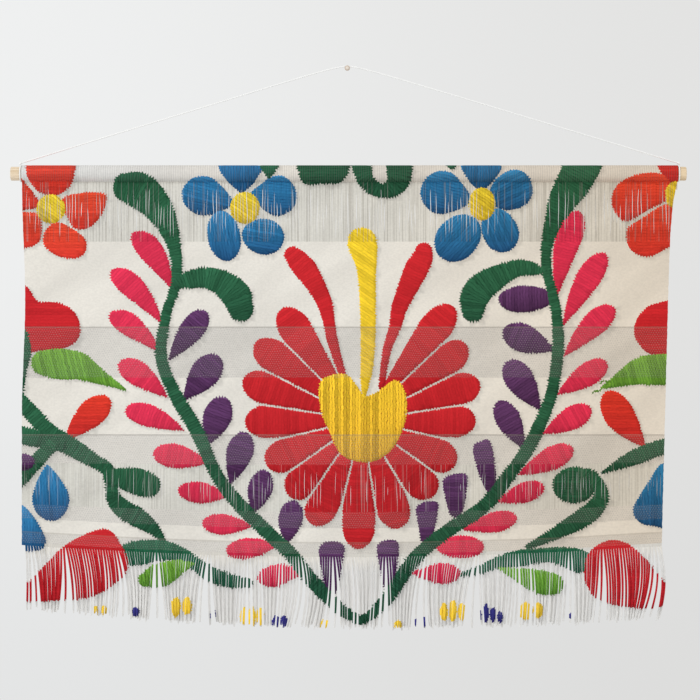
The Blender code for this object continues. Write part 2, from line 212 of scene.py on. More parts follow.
BRANCHES = (
    Stroke("green", (
        (127, 188, 29), (139, 191, 36), (152, 201, 33), (164, 218, 25), (172, 238, 16), (176, 256, 12),
        (177, 272, 11), (175, 288, 10), (168, 308, 10), (163, 331, 11), (161, 354, 12), (165, 372, 12),
        (172, 388, 13), (181, 405, 14), (192, 422, 14), (201, 440, 14), (210, 461, 13), (222, 483, 13),
        (240, 505, 14), (258, 523, 14), (275, 539, 14), (290, 553, 14), (304, 571, 14), (320, 589, 14),
        (334, 603, 13), (348, 614, 11), (361, 620, 9),
    )),
    Stroke("green", (
        (588, 148, 38), (582, 166, 37), (574, 182, 35), (563, 200, 29), (554, 220, 19), (548, 240, 13),
        (546, 256, 11), (547, 272, 10), (552, 292, 10), (556, 312, 11), (558, 335, 12), (557, 360, 12),
        (551, 395, 12), (541, 421, 13), (531, 443, 14), (519, 462, 13), (506, 479, 14), (494, 496, 14),
        (477, 512, 14), (452, 528, 14), (428, 546, 14), (411, 563, 14), (399, 581, 14), (387, 598, 13),
        (374, 612, 11), (361, 620, 9),
    )),
    Stroke("green", (
        (176, 286, 8), (186, 281, 17), (199, 278, 20), (212, 279, 23), (225, 285, 27), (236, 295, 30),
        (241, 309, 26),
    )),
    Stroke("green", (
        (544, 271, 6), (534, 269, 13), (520, 268, 17), (507, 272, 20), (494, 279, 25), (481, 288, 29),
        (474, 299, 29), (473, 311, 23),
    )),
)

TOP_GREENS = (
    Patch("green", ((296, 152), (322, 150), (351, 154), (349, 172), (340, 183), (322, 184), (308, 185),
                    (300, 178))),
    Stroke("green", (
        (362, 152, 22), (362, 168, 20), (366, 181, 16), (377, 190, 14), (391, 189, 18), (399, 177, 25),
        (398, 152, 27),
    )),
    Leaf("leaf_green", 270, 156, 269, 180, 20, 0.4),
    Leaf("leaf_green", 451, 154, 452, 172, 16, 0.4),
)

FLOWERS = (
    # The blue flower on the left
    Leaf("blue", 241, 146, 242, 194, 46, 0.42),
    Leaf("blue", 182, 191, 235, 204, 39, 0.45),
    Leaf("blue", 297, 198, 249, 194, 40, 0.42),
    Leaf("blue", 229, 261, 219, 211, 33, 0.48, blunt=True),
    Leaf("blue", 284, 240, 242, 233, 36, 0.45, blunt=True),
    Spot("yellow", 245, 208, 15.0, 16.0),
    # The blue flower on the right
    Leaf("blue", 481, 148, 481, 192, 41, 0.45),
    Leaf("blue", 421, 188, 474, 201, 43, 0.42),
    Leaf("blue", 531, 182, 490, 201, 38, 0.40, blunt=True),
    Leaf("blue", 440, 257, 476, 219, 42, 0.48, blunt=True),
    Leaf("blue", 509, 251, 490, 209, 36, 0.42, blunt=True),
    Spot("yellow", 482, 204, 13.5, 16.5),
    # The orange flower cut by the left edge
    Leaf("orange", 51, 140, 52, 196, 50, 0.48, blunt=True),
    Patch("orange", ((62, 200), (80, 193), (103, 193), (107, 201), (99, 219), (86, 229), (72, 226))),
    Patch("orange", ((48, 227), (58, 222), (73, 229), (85, 239), (86, 251), (78, 258), (60, 257),
                     (46, 248), (43, 237))),
    Patch("orange", ((8, 213), (24, 212), (38, 214), (42, 227), (39, 242), (26, 248), (8, 248))),
    Patch("orange", ((8, 168), (20, 177), (35, 195), (40, 206), (26, 210), (8, 210))),
    Spot("yellow", 51, 209, 14.5, 14.5),
    # The orange flower cut by the right edge
    Patch("orange_leaf", ((657, 150), (676, 150), (680, 182), (668, 182), (658, 170))),
    Patch("orange", ((612, 206), (613, 192), (621, 182), (640, 175), (660, 175), (672, 186), (667, 200),
                     (652, 208), (640, 215), (630, 221), (620, 219))),
    Patch("orange", ((626, 233), (630, 226), (642, 218), (654, 210), (666, 204), (680, 203), (680, 236),
                     (664, 250), (646, 257), (630, 249))),
    Spot("yellow", 675, 195, 10.0, 13.5),
)

STAMENS = (
    Stroke("red", (
        (293, 255, 18), (299, 262, 22), (306, 270, 23), (314, 282, 20), (321, 295, 17), (326, 307, 15),
        (329, 322, 12), (332, 339, 11), (337, 357, 9.5), (343, 376, 7),
    )),
    Stroke("red", (
        (424, 251, 18), (422, 259, 22), (417, 268, 24), (411, 281, 22), (405, 294, 19), (399, 309, 16),
        (395, 327, 12), (388, 346, 9.5), (384.5, 364, 8), (381.5, 387, 6),
    )),
)

HEART = (
    Patch("heart", ((319, 388), (326, 377), (346, 374), (357, 386), (365, 396), (378, 391), (396, 380),
                    (406, 396), (405, 422), (392, 449), (370, 462), (343, 456), (330, 433), (321, 411))),
    Stroke("stamen", (
        (362, 242, 30), (364, 251, 28), (366, 263, 22), (367, 278, 18), (368, 310, 16), (368, 339, 15),
        (367, 365, 13), (365, 384, 9), (364, 397, 3),
    )),
)

# Red petals round the heart. Each runs from the circle of roots to its head, and fills the room
# between its neighbours but for a thin gap.
HEART_CENTRE = (362.0, 420.0)
PETAL_ROOT = 30.0
PETAL_WIDTH = 33.0
PETAL_GAP = 1.5
PETAL_ROUND = 0.76
PETAL_END_TURN = math.radians(8.7)
PETAL_HEADS = (
    (281, 309), (255, 343), (243, 380), (245, 422), (266, 464), (289, 496), (313, 525), (358, 549),
    (400, 528), (434, 496), (456, 464), (476, 421), (480, 383), (467, 345), (453, 306),
)

LEAVES = (
    # Pink leaves outside the left branch
    Leaf("pink", 134, 232, 174, 292, 25, 0.30, 4), Leaf("pink", 112, 270, 163, 325, 24, 0.30, 4),
    Leaf("pink", 110, 313, 161, 353, 23, 0.32, 3), Leaf("pink", 119, 362, 168, 398, 25, 0.34, 2),
    Leaf("pink", 125, 409, 185, 431, 23, 0.36, 2), Leaf("pink", 153, 453, 209, 463, 25, 0.40, 1),
    Leaf("pink", 178, 490, 230, 496, 22, 0.42), Leaf("pink", 202, 523, 253, 526, 21, 0.42),
    Leaf("pink", 226, 551, 281, 544, 21, 0.38), Leaf("pink", 257, 579, 305, 570, 22, 0.40),
    # Pink leaves outside the right branch
    Leaf("pink", 578, 211, 556, 298, 27, 0.28, -3), Leaf("pink", 605, 253, 562, 327, 25, 0.32, -2),
    Leaf("pink", 614, 307, 563, 357, 25, 0.32, -2), Leaf("pink", 607, 362, 556, 395, 24, 0.36),
    Leaf("pink", 591, 408, 542, 434, 24, 0.36), Leaf("pink", 573, 448, 517, 475, 24, 0.36),
    Leaf("pink", 544, 486, 496, 502, 21, 0.38), Leaf("pink", 517, 517, 462, 530, 21, 0.38),
    Leaf("pink", 484, 547, 436, 547, 23, 0.42, blunt=True), Leaf("pink", 461, 574, 411, 573, 21, 0.38),
    # Purple leaves inside the left branch
    Leaf("purple", 206, 311, 168, 361, 25, 0.34), Leaf("purple", 219, 356, 183, 401, 30, 0.36),
    Leaf("purple", 225, 397, 206, 447, 29, 0.40), Leaf("purple", 246, 432, 230, 485, 27, 0.38),
    Leaf("purple", 266, 470, 252, 515, 25, 0.42), Leaf("purple", 294, 500, 286, 545, 25, 0.42),
    Patch("purple", ((319, 548), (328, 541), (344, 545), (342, 566), (336, 592), (327, 592), (321, 566))),
    # Purple leaves inside the right branch
    Leaf("purple", 498, 300, 553, 298, 27, 0.44, blunt=True), Leaf("purple", 503, 330, 555, 351, 29, 0.38),
    Leaf("purple", 507, 361, 541, 411, 29, 0.36), Leaf("purple", 498, 401, 525, 450, 25, 0.38),
    Patch("purple", ((473, 448), (481, 441), (490, 441), (495, 462), (496, 492), (487, 492), (477, 468))),
    Patch("purple", ((443, 480), (453, 474), (467, 475), (467, 490), (462, 514), (451, 516), (445, 496))),
    Patch("purple", ((416, 508), (425, 502), (438, 503), (436, 522), (430, 543), (422, 543), (418, 524))),
    Patch("purple", ((377, 546), (386, 540), (398, 542), (398, 560), (392, 588), (384, 588), (379, 564))),
)

LEFT_SIDE = (
    Patch("red", ((10, 284), (22, 283), (31, 291), (38, 301), (60, 303), (76, 314), (80, 334), (68, 347),
                  (40, 351), (10, 351))),
    Stroke("green", ((20, 336, 18), (22, 352, 19), (20, 372, 14), (18, 394, 12))),
    Stroke("lime", (
        (44, 363, 26), (60, 364, 31), (78, 366, 28), (94, 374, 19), (108, 381, 11), (118, 386, 6),
        (125, 390, 3),
    )),
    Leaf("orange_leaf", 109, 398, 64, 441, 28, 0.36, -1),
    Stroke("green", (
        (14, 396, 16), (27, 408, 16), (38, 420, 16), (48, 431, 17), (61, 441, 19), (78, 451, 18),
        (92, 460, 15), (108, 470, 13), (111, 482, 12), (113, 497, 15), (122, 508, 19), (137, 517, 20),
        (150, 526, 15), (159, 535, 9), (166, 543, 3),
    )),
    Stroke("green", ((12, 433, 18), (30, 437, 18), (46, 441, 16), (60, 445, 14))),
    Stroke("green", ((53, 444, 14), (38, 460, 15), (18, 480, 18))),
    Spot("purple", 24, 462, 11.0, 8.5),
    Stroke("green", ((110, 477, 15), (122, 478, 21), (135, 481, 27), (148, 485, 26))),
    Leaf("blue", 53, 521, 47, 464, 37, 0.40),
    Patch("blue", ((10, 504), (24, 506), (37, 521), (46, 540), (42, 549), (28, 551), (10, 546))),
    Stroke("leaf_green", (
        (119, 555, 14), (128, 554, 23), (139, 553, 25), (152, 551, 23), (168, 551, 19), (182, 555, 15),
        (197, 565, 14), (213, 575, 16), (232, 581, 14), (249, 583, 9),
    )),
    Stroke("lime", ((145, 580, 14), (152, 578, 22), (164, 574, 24), (180, 567, 15), (193, 564, 3))),
    Patch("red", ((8, 592), (28, 582), (46, 564), (64, 546), (86, 534), (106, 529), (119, 541), (128, 566),
                  (115, 584), (88, 598), (50, 601), (8, 601))),
)

RIGHT_SIDE = (
    Patch("red", ((680, 304), (654, 304), (640, 314), (634, 330), (640, 346), (654, 355), (680, 352))),
    Stroke("lime", (
        (680, 369, 31), (655, 370, 31), (641, 371, 28), (626, 377, 19), (611, 384, 9), (603, 387, 3),
    )),
    Stroke("lime", (
        (610, 384, 3), (606, 389, 2), (602, 387, 2), (599, 392, 2), (595, 390, 2), (592, 394, 1.5),
    )),
    Stroke("lime", ((612, 380, 3), (607, 382, 2), (604, 380, 2), (600, 384, 1.5))),
    Leaf("orange_leaf", 605, 392, 646, 448, 31, 0.38, -2),
    Stroke("green", (
        (680, 444, 16), (658, 448, 16), (638, 456, 16), (620, 464, 11), (602, 473, 3),
    )),
    Spot("green", 574, 485, 22.0, 18.5),
    Stroke("green", (
        (588, 474, 13), (598, 483, 12), (601, 497, 16), (593, 510, 19), (579, 520, 19), (563, 529, 15),
        (546, 538, 11), (527, 547, 5),
    )),
    Patch("blue", ((680, 466), (661, 464), (650, 479), (640, 495), (633, 509), (638, 521), (652, 526),
                   (680, 524))),
    Stroke("leaf_green", (
        (461, 575, 5), (480, 570, 9), (500, 562, 13), (521, 558, 17), (545, 555, 15), (562, 556, 19),
        (576, 560, 24), (583, 562, 22),
    )),
    Stroke("lime", ((499, 568, 2), (517, 574, 13), (534, 580, 22), (546, 583, 24), (554, 584, 21))),
    Patch("red", ((584, 574), (588, 554), (603, 542), (622, 541), (640, 553), (656, 571), (668, 590),
                  (660, 607), (624, 607), (597, 599), (587, 586))),
)

YELLOW_MARKS = (
    (95, 611, 3, 5), (104, 610, 3, 5), (176, 607, 5, 10), (187, 606, 5, 9), (244, 616, 4, 9),
    (252, 617, 4, 10), (260, 616, 4, 9), (325, 624, 5, 5), (398, 625, 4, 5), (444, 612, 4, 9),
    (453, 611, 4, 11), (462, 612, 4, 9), (526, 611, 7, 9), (538, 610, 5, 8),
)
BLUE_MARKS = (
    (136, 612, 4, 5), (206, 616, 3, 8), (213, 615, 3, 7), (276, 622, 4, 7), (284, 623, 4, 8),
    (421, 622, 7, 6), (479, 616, 3, 7), (486, 613, 3, 10), (493, 615, 3, 8), (500, 617, 3, 6),
    (571, 616, 3, 3),
)
FRINGE_MARKS = [Spot("mark_yellow", *mark) for mark in YELLOW_MARKS]
FRINGE_MARKS += [Spot("mark_blue", *mark) for mark in BLUE_MARKS]

# How the motifs' outlines are drawn, in the photograph's pixels
OUTLINE_STEP = 1.4
TOOTH = 0.92
TOOTH_SIZES = (0.25, 1.5)
TOOTH_SLIP = 0.42
RELIEF_REACH = 1.8
SHADOW_REACH = 2.4
RING_STEP = 3
RING_REACH = 3.2
CAP_STEPS = 5
LEAF_STEPS = 18
SPOT_STEPS = 28
PATCH_STEPS = 6
SPINE_STEP = 3.0
FEWEST_PLACES = 8
# How a pointed leaf narrows to its tail, as two powers
LEAF_TAPER = 1.5
LEAF_TIP = 0.95
# How the teeth's size swells and fades round an outline: its mean, its swing and two slow waves
TOOTH_MEAN = 0.75
TOOTH_SWING = 0.45
TOOTH_WAVES = (0.37, 0.11)
# How far apart two motifs' stitches can lie in the noise that streaks them
STITCH_SHIFT = 400.0
CHART_SEED = 17

# Tones of the print: its shadow on the bare ground, and its stitches where they turn from the light,
# where they don't, and what their lit side adds
SHADOW_TONE = 0.80
TURNED_TONE = 0.76
FLAT_TONE = 1.05
LIT_TONE = 0.10

# Which way the stitches of a style run, in degrees, and how much shorter some styles' stitches are
STITCH_TURNS = {"level": 90.0, "upright": 0.0, "slant": 55.0, "tilted": 14.0, "across": 90.0, "along": 0.0}
SHORT_STITCHES = {"upright": 2.4, "tilted": 2.4}

# Owners of a place other than a motif's index: the printed side's bare ground, and an unprinted side
BARE = -1
UNPRINTED = -2


def smooth_step(value):
    share = min(max(value, 0.0), 1.0)
    return share * share * (3.0 - 2.0 * share)


def bow_at(x, depth):
    """How far the weave's rows dip below level in the middle of the cloth."""
    middle = 1.0 - (2.0 * x / WOVEN_WIDTH) ** 2
    return BOW * middle * smooth_step((depth - BOW_START) / BOW_LENGTH)


def left_edge(depth):
    waist = math.sin(math.pi * depth / LEFT_WAIST_LENGTH) ** 2 if 0.0 < depth < LEFT_WAIST_LENGTH else 0.0
    return POCKET_LEFT + LEFT_WAIST * waist


def right_edge(depth):
    if depth <= 0.0:
        return POCKET_RIGHT
    taper = RIGHT_TAPER * (1.0 - depth / FIELD_DEPTH)
    return RIGHT_HEM + taper + RIGHT_FLARE * math.exp(-depth / RIGHT_FLARE_LENGTH)


def fold_at(x, depth):
    """How far the cloth stands out from its flat plane, towards the viewer."""
    total = 0.0
    for fold in FOLDS:
        line = fold.x_top + (fold.x_hem - fold.x_top) * depth / FIELD_DEPTH
        bell = math.exp(-(((x - line) / fold.half_width) ** 2))
        total += fold.rise * bell * smooth_step((depth - fold.from_depth) / FOLD_FADE)
    return total


def pocket_point(x, angle, radius):
    """A point round the rod. The angle runs from the bottom to the front, the top and the back."""
    return (x, ROD_Y - radius * math.sin(angle), ROD_Z - radius * math.cos(angle))


def curve_value(a, b, c, d, t):
    """A Catmull-Rom curve's value a share t of the way from b to c."""
    square = 2.0 * a - 5.0 * b + 4.0 * c - d
    cube = 3.0 * (b - c) + d - a
    return b + 0.5 * ((c - a) * t + square * t * t + cube * t**3)


def smooth_route(points, count):
    """Evenly spaced points on a smooth curve through the given ones."""
    padded = [points[0], *points, points[-1]]
    fine = []
    for corners in zip(padded, padded[1:], padded[2:], padded[3:]):
        for i in range(CURVE_STEPS):
            fine.append(tuple(curve_value(*axis, i / CURVE_STEPS) for axis in zip(*corners)))
    fine.append(points[-1])
    return evenly(fine, count)


def evenly(line, count):
    """Points at even steps along a polyline."""
    lengths = [0.0]
    for a, b in zip(line, line[1:]):
        lengths.append(lengths[-1] + math.dist(a, b))
    spaced, j = [], 0
    for i in range(count):
        wanted = lengths[-1] * i / (count - 1)
        while j < len(lengths) - 2 and lengths[j + 1] < wanted:
            j += 1
        gap = lengths[j + 1] - lengths[j]
        share = (wanted - lengths[j]) / gap if gap > 0.0 else 0.0
        spaced.append(tuple(a + share * (b - a) for a, b in zip(line[j], line[j + 1])))
    return spaced


# The sheet's own flat frame: x across, and down from the seam, in metres. Above the seam, down is
# negative and runs up the pocket's front, over the rod, down its back and down the hem flap.
SEAM_ANGLE = math.asin(HALF_THICKNESS / POCKET_OUTER)
FLAP_BEHIND = CLOTH_THICKNESS + 0.0001
BACK_ANGLE = 2.0 * math.pi - math.asin((FLAP_BEHIND - HALF_THICKNESS) / POCKET_OUTER)
POCKET_ARC = POCKET_OUTER * (BACK_ANGLE - SEAM_ANGLE)
HEM_DEPTH = FIELD_DEPTH - STRIP_HEIGHT


def depth_at(x, down):
    """Depth down the weave of a place that hangs that far below the seam."""
    depth = down
    for _ in range(4):
        depth = down - bow_at(x, depth)
    return depth


def sheet_place(column, row):
    """The flat place (x, down) of a place in the photograph's frame."""
    x = (column - PIN_COLUMN) * PIXEL
    z = -(row - PIN_ROW) * PIXEL
    if z <= SEAM_Z:
        return x, SEAM_Z - z
    top = ROD_Z + POCKET_OUTER
    if z < top:
        return x, -POCKET_OUTER * math.acos((ROD_Z - z) / POCKET_OUTER)
    return x, -POCKET_OUTER * math.pi - (z - top)


def photo_place(x, z):
    """Column and row in the photograph's frame of a place that faces the viewer."""
    return x / PIXEL + PIN_COLUMN, PIN_ROW - z / PIXEL


def within_edges(x, depth, margin):
    """Whether x is further than the margin from both selvedges."""
    return left_edge(depth) + margin < x < right_edge(depth) - margin


def hung_point(x, down, side):
    """Where a flat place hangs: side is -1 on the printed face and +1 on the plain one."""
    if down >= 0.0:
        y = ROD_Y - fold_at(x, depth_at(x, down)) + side * HALF_THICKNESS
        return (x, y, SEAM_Z - down + (CLOTH_THICKNESS if side > 0 and down == 0.0 else 0.0))
    if down > -POCKET_ARC:
        radius = POCKET_OUTER if side < 0 else POCKET_INNER
        return pocket_point(x, SEAM_ANGLE - down / POCKET_OUTER, radius)
    below = -POCKET_ARC - down
    y = ROD_Y + FLAP_BEHIND - side * HALF_THICKNESS
    return (x, y, SEAM_Z - below + (CLOTH_THICKNESS if side > 0 and below == 0.0 else 0.0))


# Outlines of the motifs, in the photograph's frame


def leaf_outline(leaf):
    """Outline of a leaf: a quarter ellipse to its fullest place, then a taper or a second ellipse."""
    ax, ay = leaf.tail_x - leaf.head_x, leaf.tail_y - leaf.head_y
    length = math.hypot(ax, ay)
    ax, ay = ax / length, ay / length
    sides = ([], [])
    for i in range(LEAF_STEPS + 1):
        turn = math.pi * i / LEAF_STEPS
        t = 0.5 - 0.5 * math.cos(turn)
        if t < leaf.full:
            share = math.sqrt(max(1.0 - (1.0 - t / leaf.full) ** 2, 0.0))
        else:
            rest = (t - leaf.full) / (1.0 - leaf.full)
            share = math.sqrt(max(1.0 - rest**2, 0.0)) if leaf.blunt else (1.0 - rest**LEAF_TAPER) ** LEAF_TIP
        reach = 0.5 * leaf.width * share
        bend = 4.0 * leaf.bend * t * (1.0 - t)
        x = leaf.head_x + ax * t * length + ay * bend
        y = leaf.head_y + ay * t * length - ax * bend
        sides[0].append((x - ay * reach, y + ax * reach))
        sides[1].append((x + ay * reach, y - ax * reach))
    return sides[0] + sides[1][-2:0:-1]


def stroke_spine(stroke):
    """Even places along the middle of a stroke, with its width at each."""
    length = sum(math.dist(a[:2], b[:2]) for a, b in zip(stroke.spine, stroke.spine[1:]))
    return smooth_route(stroke.spine, max(int(length / SPINE_STEP), FEWEST_PLACES))


def stroke_outline(stroke):
    """Outline of a stroke, with round caps as wide as its ends."""
    spine = stroke_spine(stroke)
    sides = ([], [])
    for i, (x, y, width) in enumerate(spine):
        before, after = spine[max(i - 1, 0)], spine[min(i + 1, len(spine) - 1)]
        ax, ay = after[0] - before[0], after[1] - before[1]
        length = math.hypot(ax, ay)
        ax, ay = 0.5 * width * ax / length, 0.5 * width * ay / length
        sides[0].append((x - ay, y + ax))
        sides[1].append((x + ay, y - ax))
        if i in (0, len(spine) - 1):
            way = -1.0 if i == 0 else 1.0
            cap = []
            for k in range(1, CAP_STEPS):
                turn = math.pi * k / CAP_STEPS
                along, over = way * math.sin(turn), math.cos(turn)
                cap.append((x + ax * along - ay * over, y + ay * along + ax * over))
            if i == 0:
                start_cap = cap[::-1]
            else:
                end_cap = cap
    return sides[0] + end_cap + sides[1][::-1] + start_cap


def spot_outline(spot):
    turns = [2.0 * math.pi * i / SPOT_STEPS for i in range(SPOT_STEPS)]
    return [(spot.x + spot.across * math.cos(turn), spot.y + spot.down * math.sin(turn)) for turn in turns]


def patch_outline(patch):
    """A smooth closed curve through the patch's places."""
    places = patch.places
    fine = []
    for i in range(len(places)):
        corners = [places[(i + k) % len(places)] for k in (-1, 0, 1, 2)]
        for step in range(PATCH_STEPS):
            fine.append(tuple(curve_value(*axis, step / PATCH_STEPS) for axis in zip(*corners)))
    return fine


Petal = namedtuple("Petal", "ink turn reach before after")


def heart_petals():
    """The red petals, each with its direction, its length and the turns to its neighbours' sides."""
    turns, reaches = [], []
    for head_x, head_y in PETAL_HEADS:
        across, down = head_x - HEART_CENTRE[0], head_y - HEART_CENTRE[1]
        turns.append(math.atan2(across, down))
        reaches.append(math.hypot(across, down))
    petals = []
    for i, (turn, reach) in enumerate(zip(turns, reaches)):
        before = 0.5 * (turn - turns[i - 1]) if i > 0 else -PETAL_END_TURN
        after = 0.5 * (turns[i + 1] - turn) if i + 1 < len(turns) else PETAL_END_TURN
        petals.append(Petal("red", turn, reach, abs(before), abs(after)))
    return petals


def petal_outline(petal):
    """Outline of a petal: as wide as its room allows, with a round head."""
    across, down = math.sin(petal.turn), math.cos(petal.turn)
    sides = ([], [])
    for i in range(LEAF_STEPS + 1):
        t = math.sin(0.5 * math.pi * i / LEAF_STEPS)
        away = PETAL_ROOT + (petal.reach - PETAL_ROOT) * t
        rest = max(t - PETAL_ROUND, 0.0) / (1.0 - PETAL_ROUND)
        head = math.sqrt(max(1.0 - rest**2, 0.0))
        for side, room, way in ((sides[0], petal.before, 1.0), (sides[1], petal.after, -1.0)):
            half = head * max(min(room * away - 0.5 * PETAL_GAP, 0.5 * PETAL_WIDTH), 1.0)
            x = HEART_CENTRE[0] + across * away - way * down * half
            y = HEART_CENTRE[1] + down * away + way * across * half
            side.append((x, y))
    return sides[0] + sides[1][-2::-1]


def outline_of(motif):
    return {
        Leaf: leaf_outline,
        Stroke: stroke_outline,
        Spot: spot_outline,
        Patch: patch_outline,
        Petal: petal_outline,
    }[type(motif)](motif)


def stitched(outline, teeth, rng):
    """The same outline with the fine uneven teeth that the ends of the stitches give it."""
    closed = outline + outline[:1]
    length = sum(math.dist(a, b) for a, b in zip(closed, closed[1:]))
    count = max(2 * int(0.5 * length / OUTLINE_STEP), 6)
    ring = evenly(closed, count + 1)[:-1]
    toothed = []
    for i, (x, y) in enumerate(ring):
        before, after = ring[i - 1], ring[(i + 1) % count]
        ax, ay = after[0] - before[0], after[1] - before[1]
        size = math.hypot(ax, ay) or 1.0
        ax, ay = ax / size, ay / size
        sway = TOOTH_MEAN + TOOTH_SWING * math.sin(TOOTH_WAVES[0] * i) * math.sin(TOOTH_WAVES[1] * i + 1.0)
        out = sway * teeth * (TOOTH if i % 2 else -TOOTH) * rng.uniform(*TOOTH_SIZES)
        slip = rng.uniform(-TOOTH_SLIP, TOOTH_SLIP)
        toothed.append((x + out * ay + slip * ax, y - out * ax + slip * ay))
    return toothed


# Stitch frames: for a place in a motif, how far across and how far along its stitches it is


def stitch_frame(motif, style):
    """Returns a function from numpy x and y to (across, along), in the photograph's pixels."""
    if style in ("across", "along") and isinstance(motif, Stroke):
        spine = np.array(stroke_spine(motif))
        steps = np.hypot(np.diff(spine[:, 0]), np.diff(spine[:, 1]))
        arcs = np.concatenate(([0.0], np.cumsum(steps)))

        def stroke_frame(x, y):
            near = np.argmin((x[:, None] - spine[:, 0]) ** 2 + (y[:, None] - spine[:, 1]) ** 2, axis=1)
            before = spine[np.maximum(near - 1, 0)]
            after = spine[np.minimum(near + 1, len(spine) - 1)]
            ax, ay = after[:, 0] - before[:, 0], after[:, 1] - before[:, 1]
            size = np.hypot(ax, ay)
            dx, dy = x - spine[near, 0], y - spine[near, 1]
            down = arcs[near] + (dx * ax + dy * ay) / size
            over = (dy * ax - dx * ay) / size
            return (down, over) if style == "across" else (over, down)

        return stroke_frame
    angle = STITCH_TURNS[style]
    if style in ("across", "along") and isinstance(motif, (Leaf, Petal)):
        if isinstance(motif, Leaf):
            axis = math.atan2(motif.tail_y - motif.head_y, motif.tail_x - motif.head_x)
        else:
            axis = 0.5 * math.pi - motif.turn
        angle = -math.degrees(axis) if style == "across" else 90.0 - math.degrees(axis)
    cos, sin = math.cos(math.radians(angle)), math.sin(math.radians(angle))
    shorter = SHORT_STITCHES.get(style, 1.0)

    def flat_frame(x, y):
        return x * cos - y * sin, shorter * (x * sin + y * cos)

    return flat_frame


Shape = namedtuple("Shape", "ink outline frame top bottom shift")


def charted_shapes():
    """Every motif as a stitched outline, from the lowest layer to the topmost."""
    rng = random.Random(CHART_SEED)
    petals = heart_petals()
    motifs = [*FLOWERS, *TOP_GREENS, *LEFT_SIDE, *RIGHT_SIDE, *petals, *STAMENS, *HEART]
    motifs += [*LEAVES, *BRANCHES, *FRINGE_MARKS]
    shapes = []
    for motif in motifs:
        ink = INKS[motif.ink]
        outline = stitched(outline_of(motif), ink.teeth, rng)
        rows = [y for _, y in outline]
        shift = rng.uniform(0.0, STITCH_SHIFT)
        shapes.append(Shape(ink, outline, stitch_frame(motif, ink.style), min(rows), max(rows), shift))
    return shapes


def inside(outline, x, y):
    """Whether the places x, y (numpy arrays) lie in a closed outline, by the even-odd rule."""
    ring = np.array(outline)
    found = np.zeros(len(x), dtype=bool)
    near = np.flatnonzero(
        (x > ring[:, 0].min()) & (x < ring[:, 0].max()) & (y > ring[:, 1].min()) & (y < ring[:, 1].max())
    )
    if len(near) == 0:
        return found
    px, py = x[near], y[near]
    hits = np.zeros(len(near), dtype=bool)
    for (ax, ay), (bx, by) in zip(ring, np.roll(ring, -1, axis=0)):
        crosses = (ay > py) != (by > py)
        if ay != by:
            hits ^= crosses & (px < (bx - ax) * (py - ay) / (by - ay) + ax)
    found[near] = hits
    return found


def topmost(shapes, x, y):
    """Index of the topmost motif over each place, or BARE on the bare ground."""
    low, high = y.min(), y.max()
    found = np.full(len(x), BARE)
    for index, shape in enumerate(shapes):
        if shape.bottom > low and shape.top < high:
            found[inside(shape.outline, x, y)] = index
    return found


def linear(channel):
    value = channel / 255.0
    return value / 12.92 if value <= 0.04045 else ((value + 0.055) / 1.055) ** 2.4


def linear_colour(levels):
    return np.array([linear(channel) for channel in levels])


def paint(shapes, owner, x, y):
    """Ink, streak colour, streak amount and stitch frame at each place, for the motif that owns it."""
    count = len(x)
    ground = INKS["ground"]
    ink = np.tile(linear_colour(ground.upper), (count, 1))
    streak = np.tile(linear_colour(ground.streak), (count, 1))
    amount = np.full(count, ground.amount)
    stitch = np.stack([x, y, np.zeros(count)], axis=1)
    for index, shape in enumerate(shapes):
        mine = np.flatnonzero(owner == index)
        if len(mine) == 0:
            continue
        kind = shape.ink
        share = np.clip((y[mine] - shape.top) / (shape.bottom - shape.top), 0.0, 1.0)[:, None]
        mixed_ink = linear_colour(kind.upper) * (1.0 - share) + linear_colour(kind.lower) * share
        ink[mine] = mixed_ink * relief(shape.outline, x[mine], y[mine])[:, None]
        streak[mine] = linear_colour(kind.streak)
        amount[mine] = kind.amount
        across, along = shape.frame(x[mine], y[mine])
        stitch[mine] = np.stack([across, along, np.full(len(mine), shape.shift)], axis=1)
    bare = np.flatnonzero(owner == BARE)
    shaded = np.zeros(len(bare), dtype=bool)
    for shape in shapes:
        shaded |= inside(shape.outline, x[bare] - SHADOW_REACH, y[bare] - SHADOW_REACH)
    ink[bare[shaded]] *= SHADOW_TONE
    return ink, streak, amount, stitch


def relief(outline, x, y):
    """Light on the raised stitches that the print shows: from the upper left, darker at the lower right."""
    low = ~inside(outline, x + RELIEF_REACH, y + RELIEF_REACH)
    high = ~inside(outline, x - RELIEF_REACH, y - RELIEF_REACH)
    return np.where(low, TURNED_TONE, FLAT_TONE) + np.where(high, LIT_TONE, 0.0)


def ring_places(outline):
    """Places a little inside and outside a motif's outline, where its relief and shadow have faded."""
    ring = np.array(outline)
    way = np.roll(ring, -2, axis=0) - np.roll(ring, 2, axis=0)
    way /= np.maximum(np.hypot(way[:, 0], way[:, 1]), 1e-6)[:, None]
    out = RING_REACH * np.stack([way[:, 1], -way[:, 0]], axis=1)
    return np.concatenate([(ring - out)[::RING_STEP], (ring + out)[::RING_STEP]]).tolist()


def write_paint(mesh, ink, streak, amount, stitch):
    """Stores the print on the mesh's face corners."""
    count = len(mesh.loops)
    colours = mesh.color_attributes.new("ink", "FLOAT_COLOR", "CORNER")
    colours.data.foreach_set("color", np.column_stack([ink, np.ones(count)]).astype(np.float32).ravel())
    streaks = mesh.color_attributes.new("streak", "FLOAT_COLOR", "CORNER")
    streaks.data.foreach_set("color", np.column_stack([streak, amount]).astype(np.float32).ravel())
    stitches = mesh.attributes.new("stitch", "FLOAT_VECTOR", "CORNER")
    stitches.data.foreach_set("vector", stitch.astype(np.float32).ravel())


# The woven sheet: steps along its edge and across it, and the closer rows just below the seam
EDGE_STEP = 0.0035
GRID_STEP = 0.0075
POCKET_ROWS = 22
FIRST_ROW = 0.0012
CLOSE_ROWS = 0.4
CLOSE_ROWS_TO = 0.004
SHARP_CLOTH = 50
CLOTH_SEED = 5
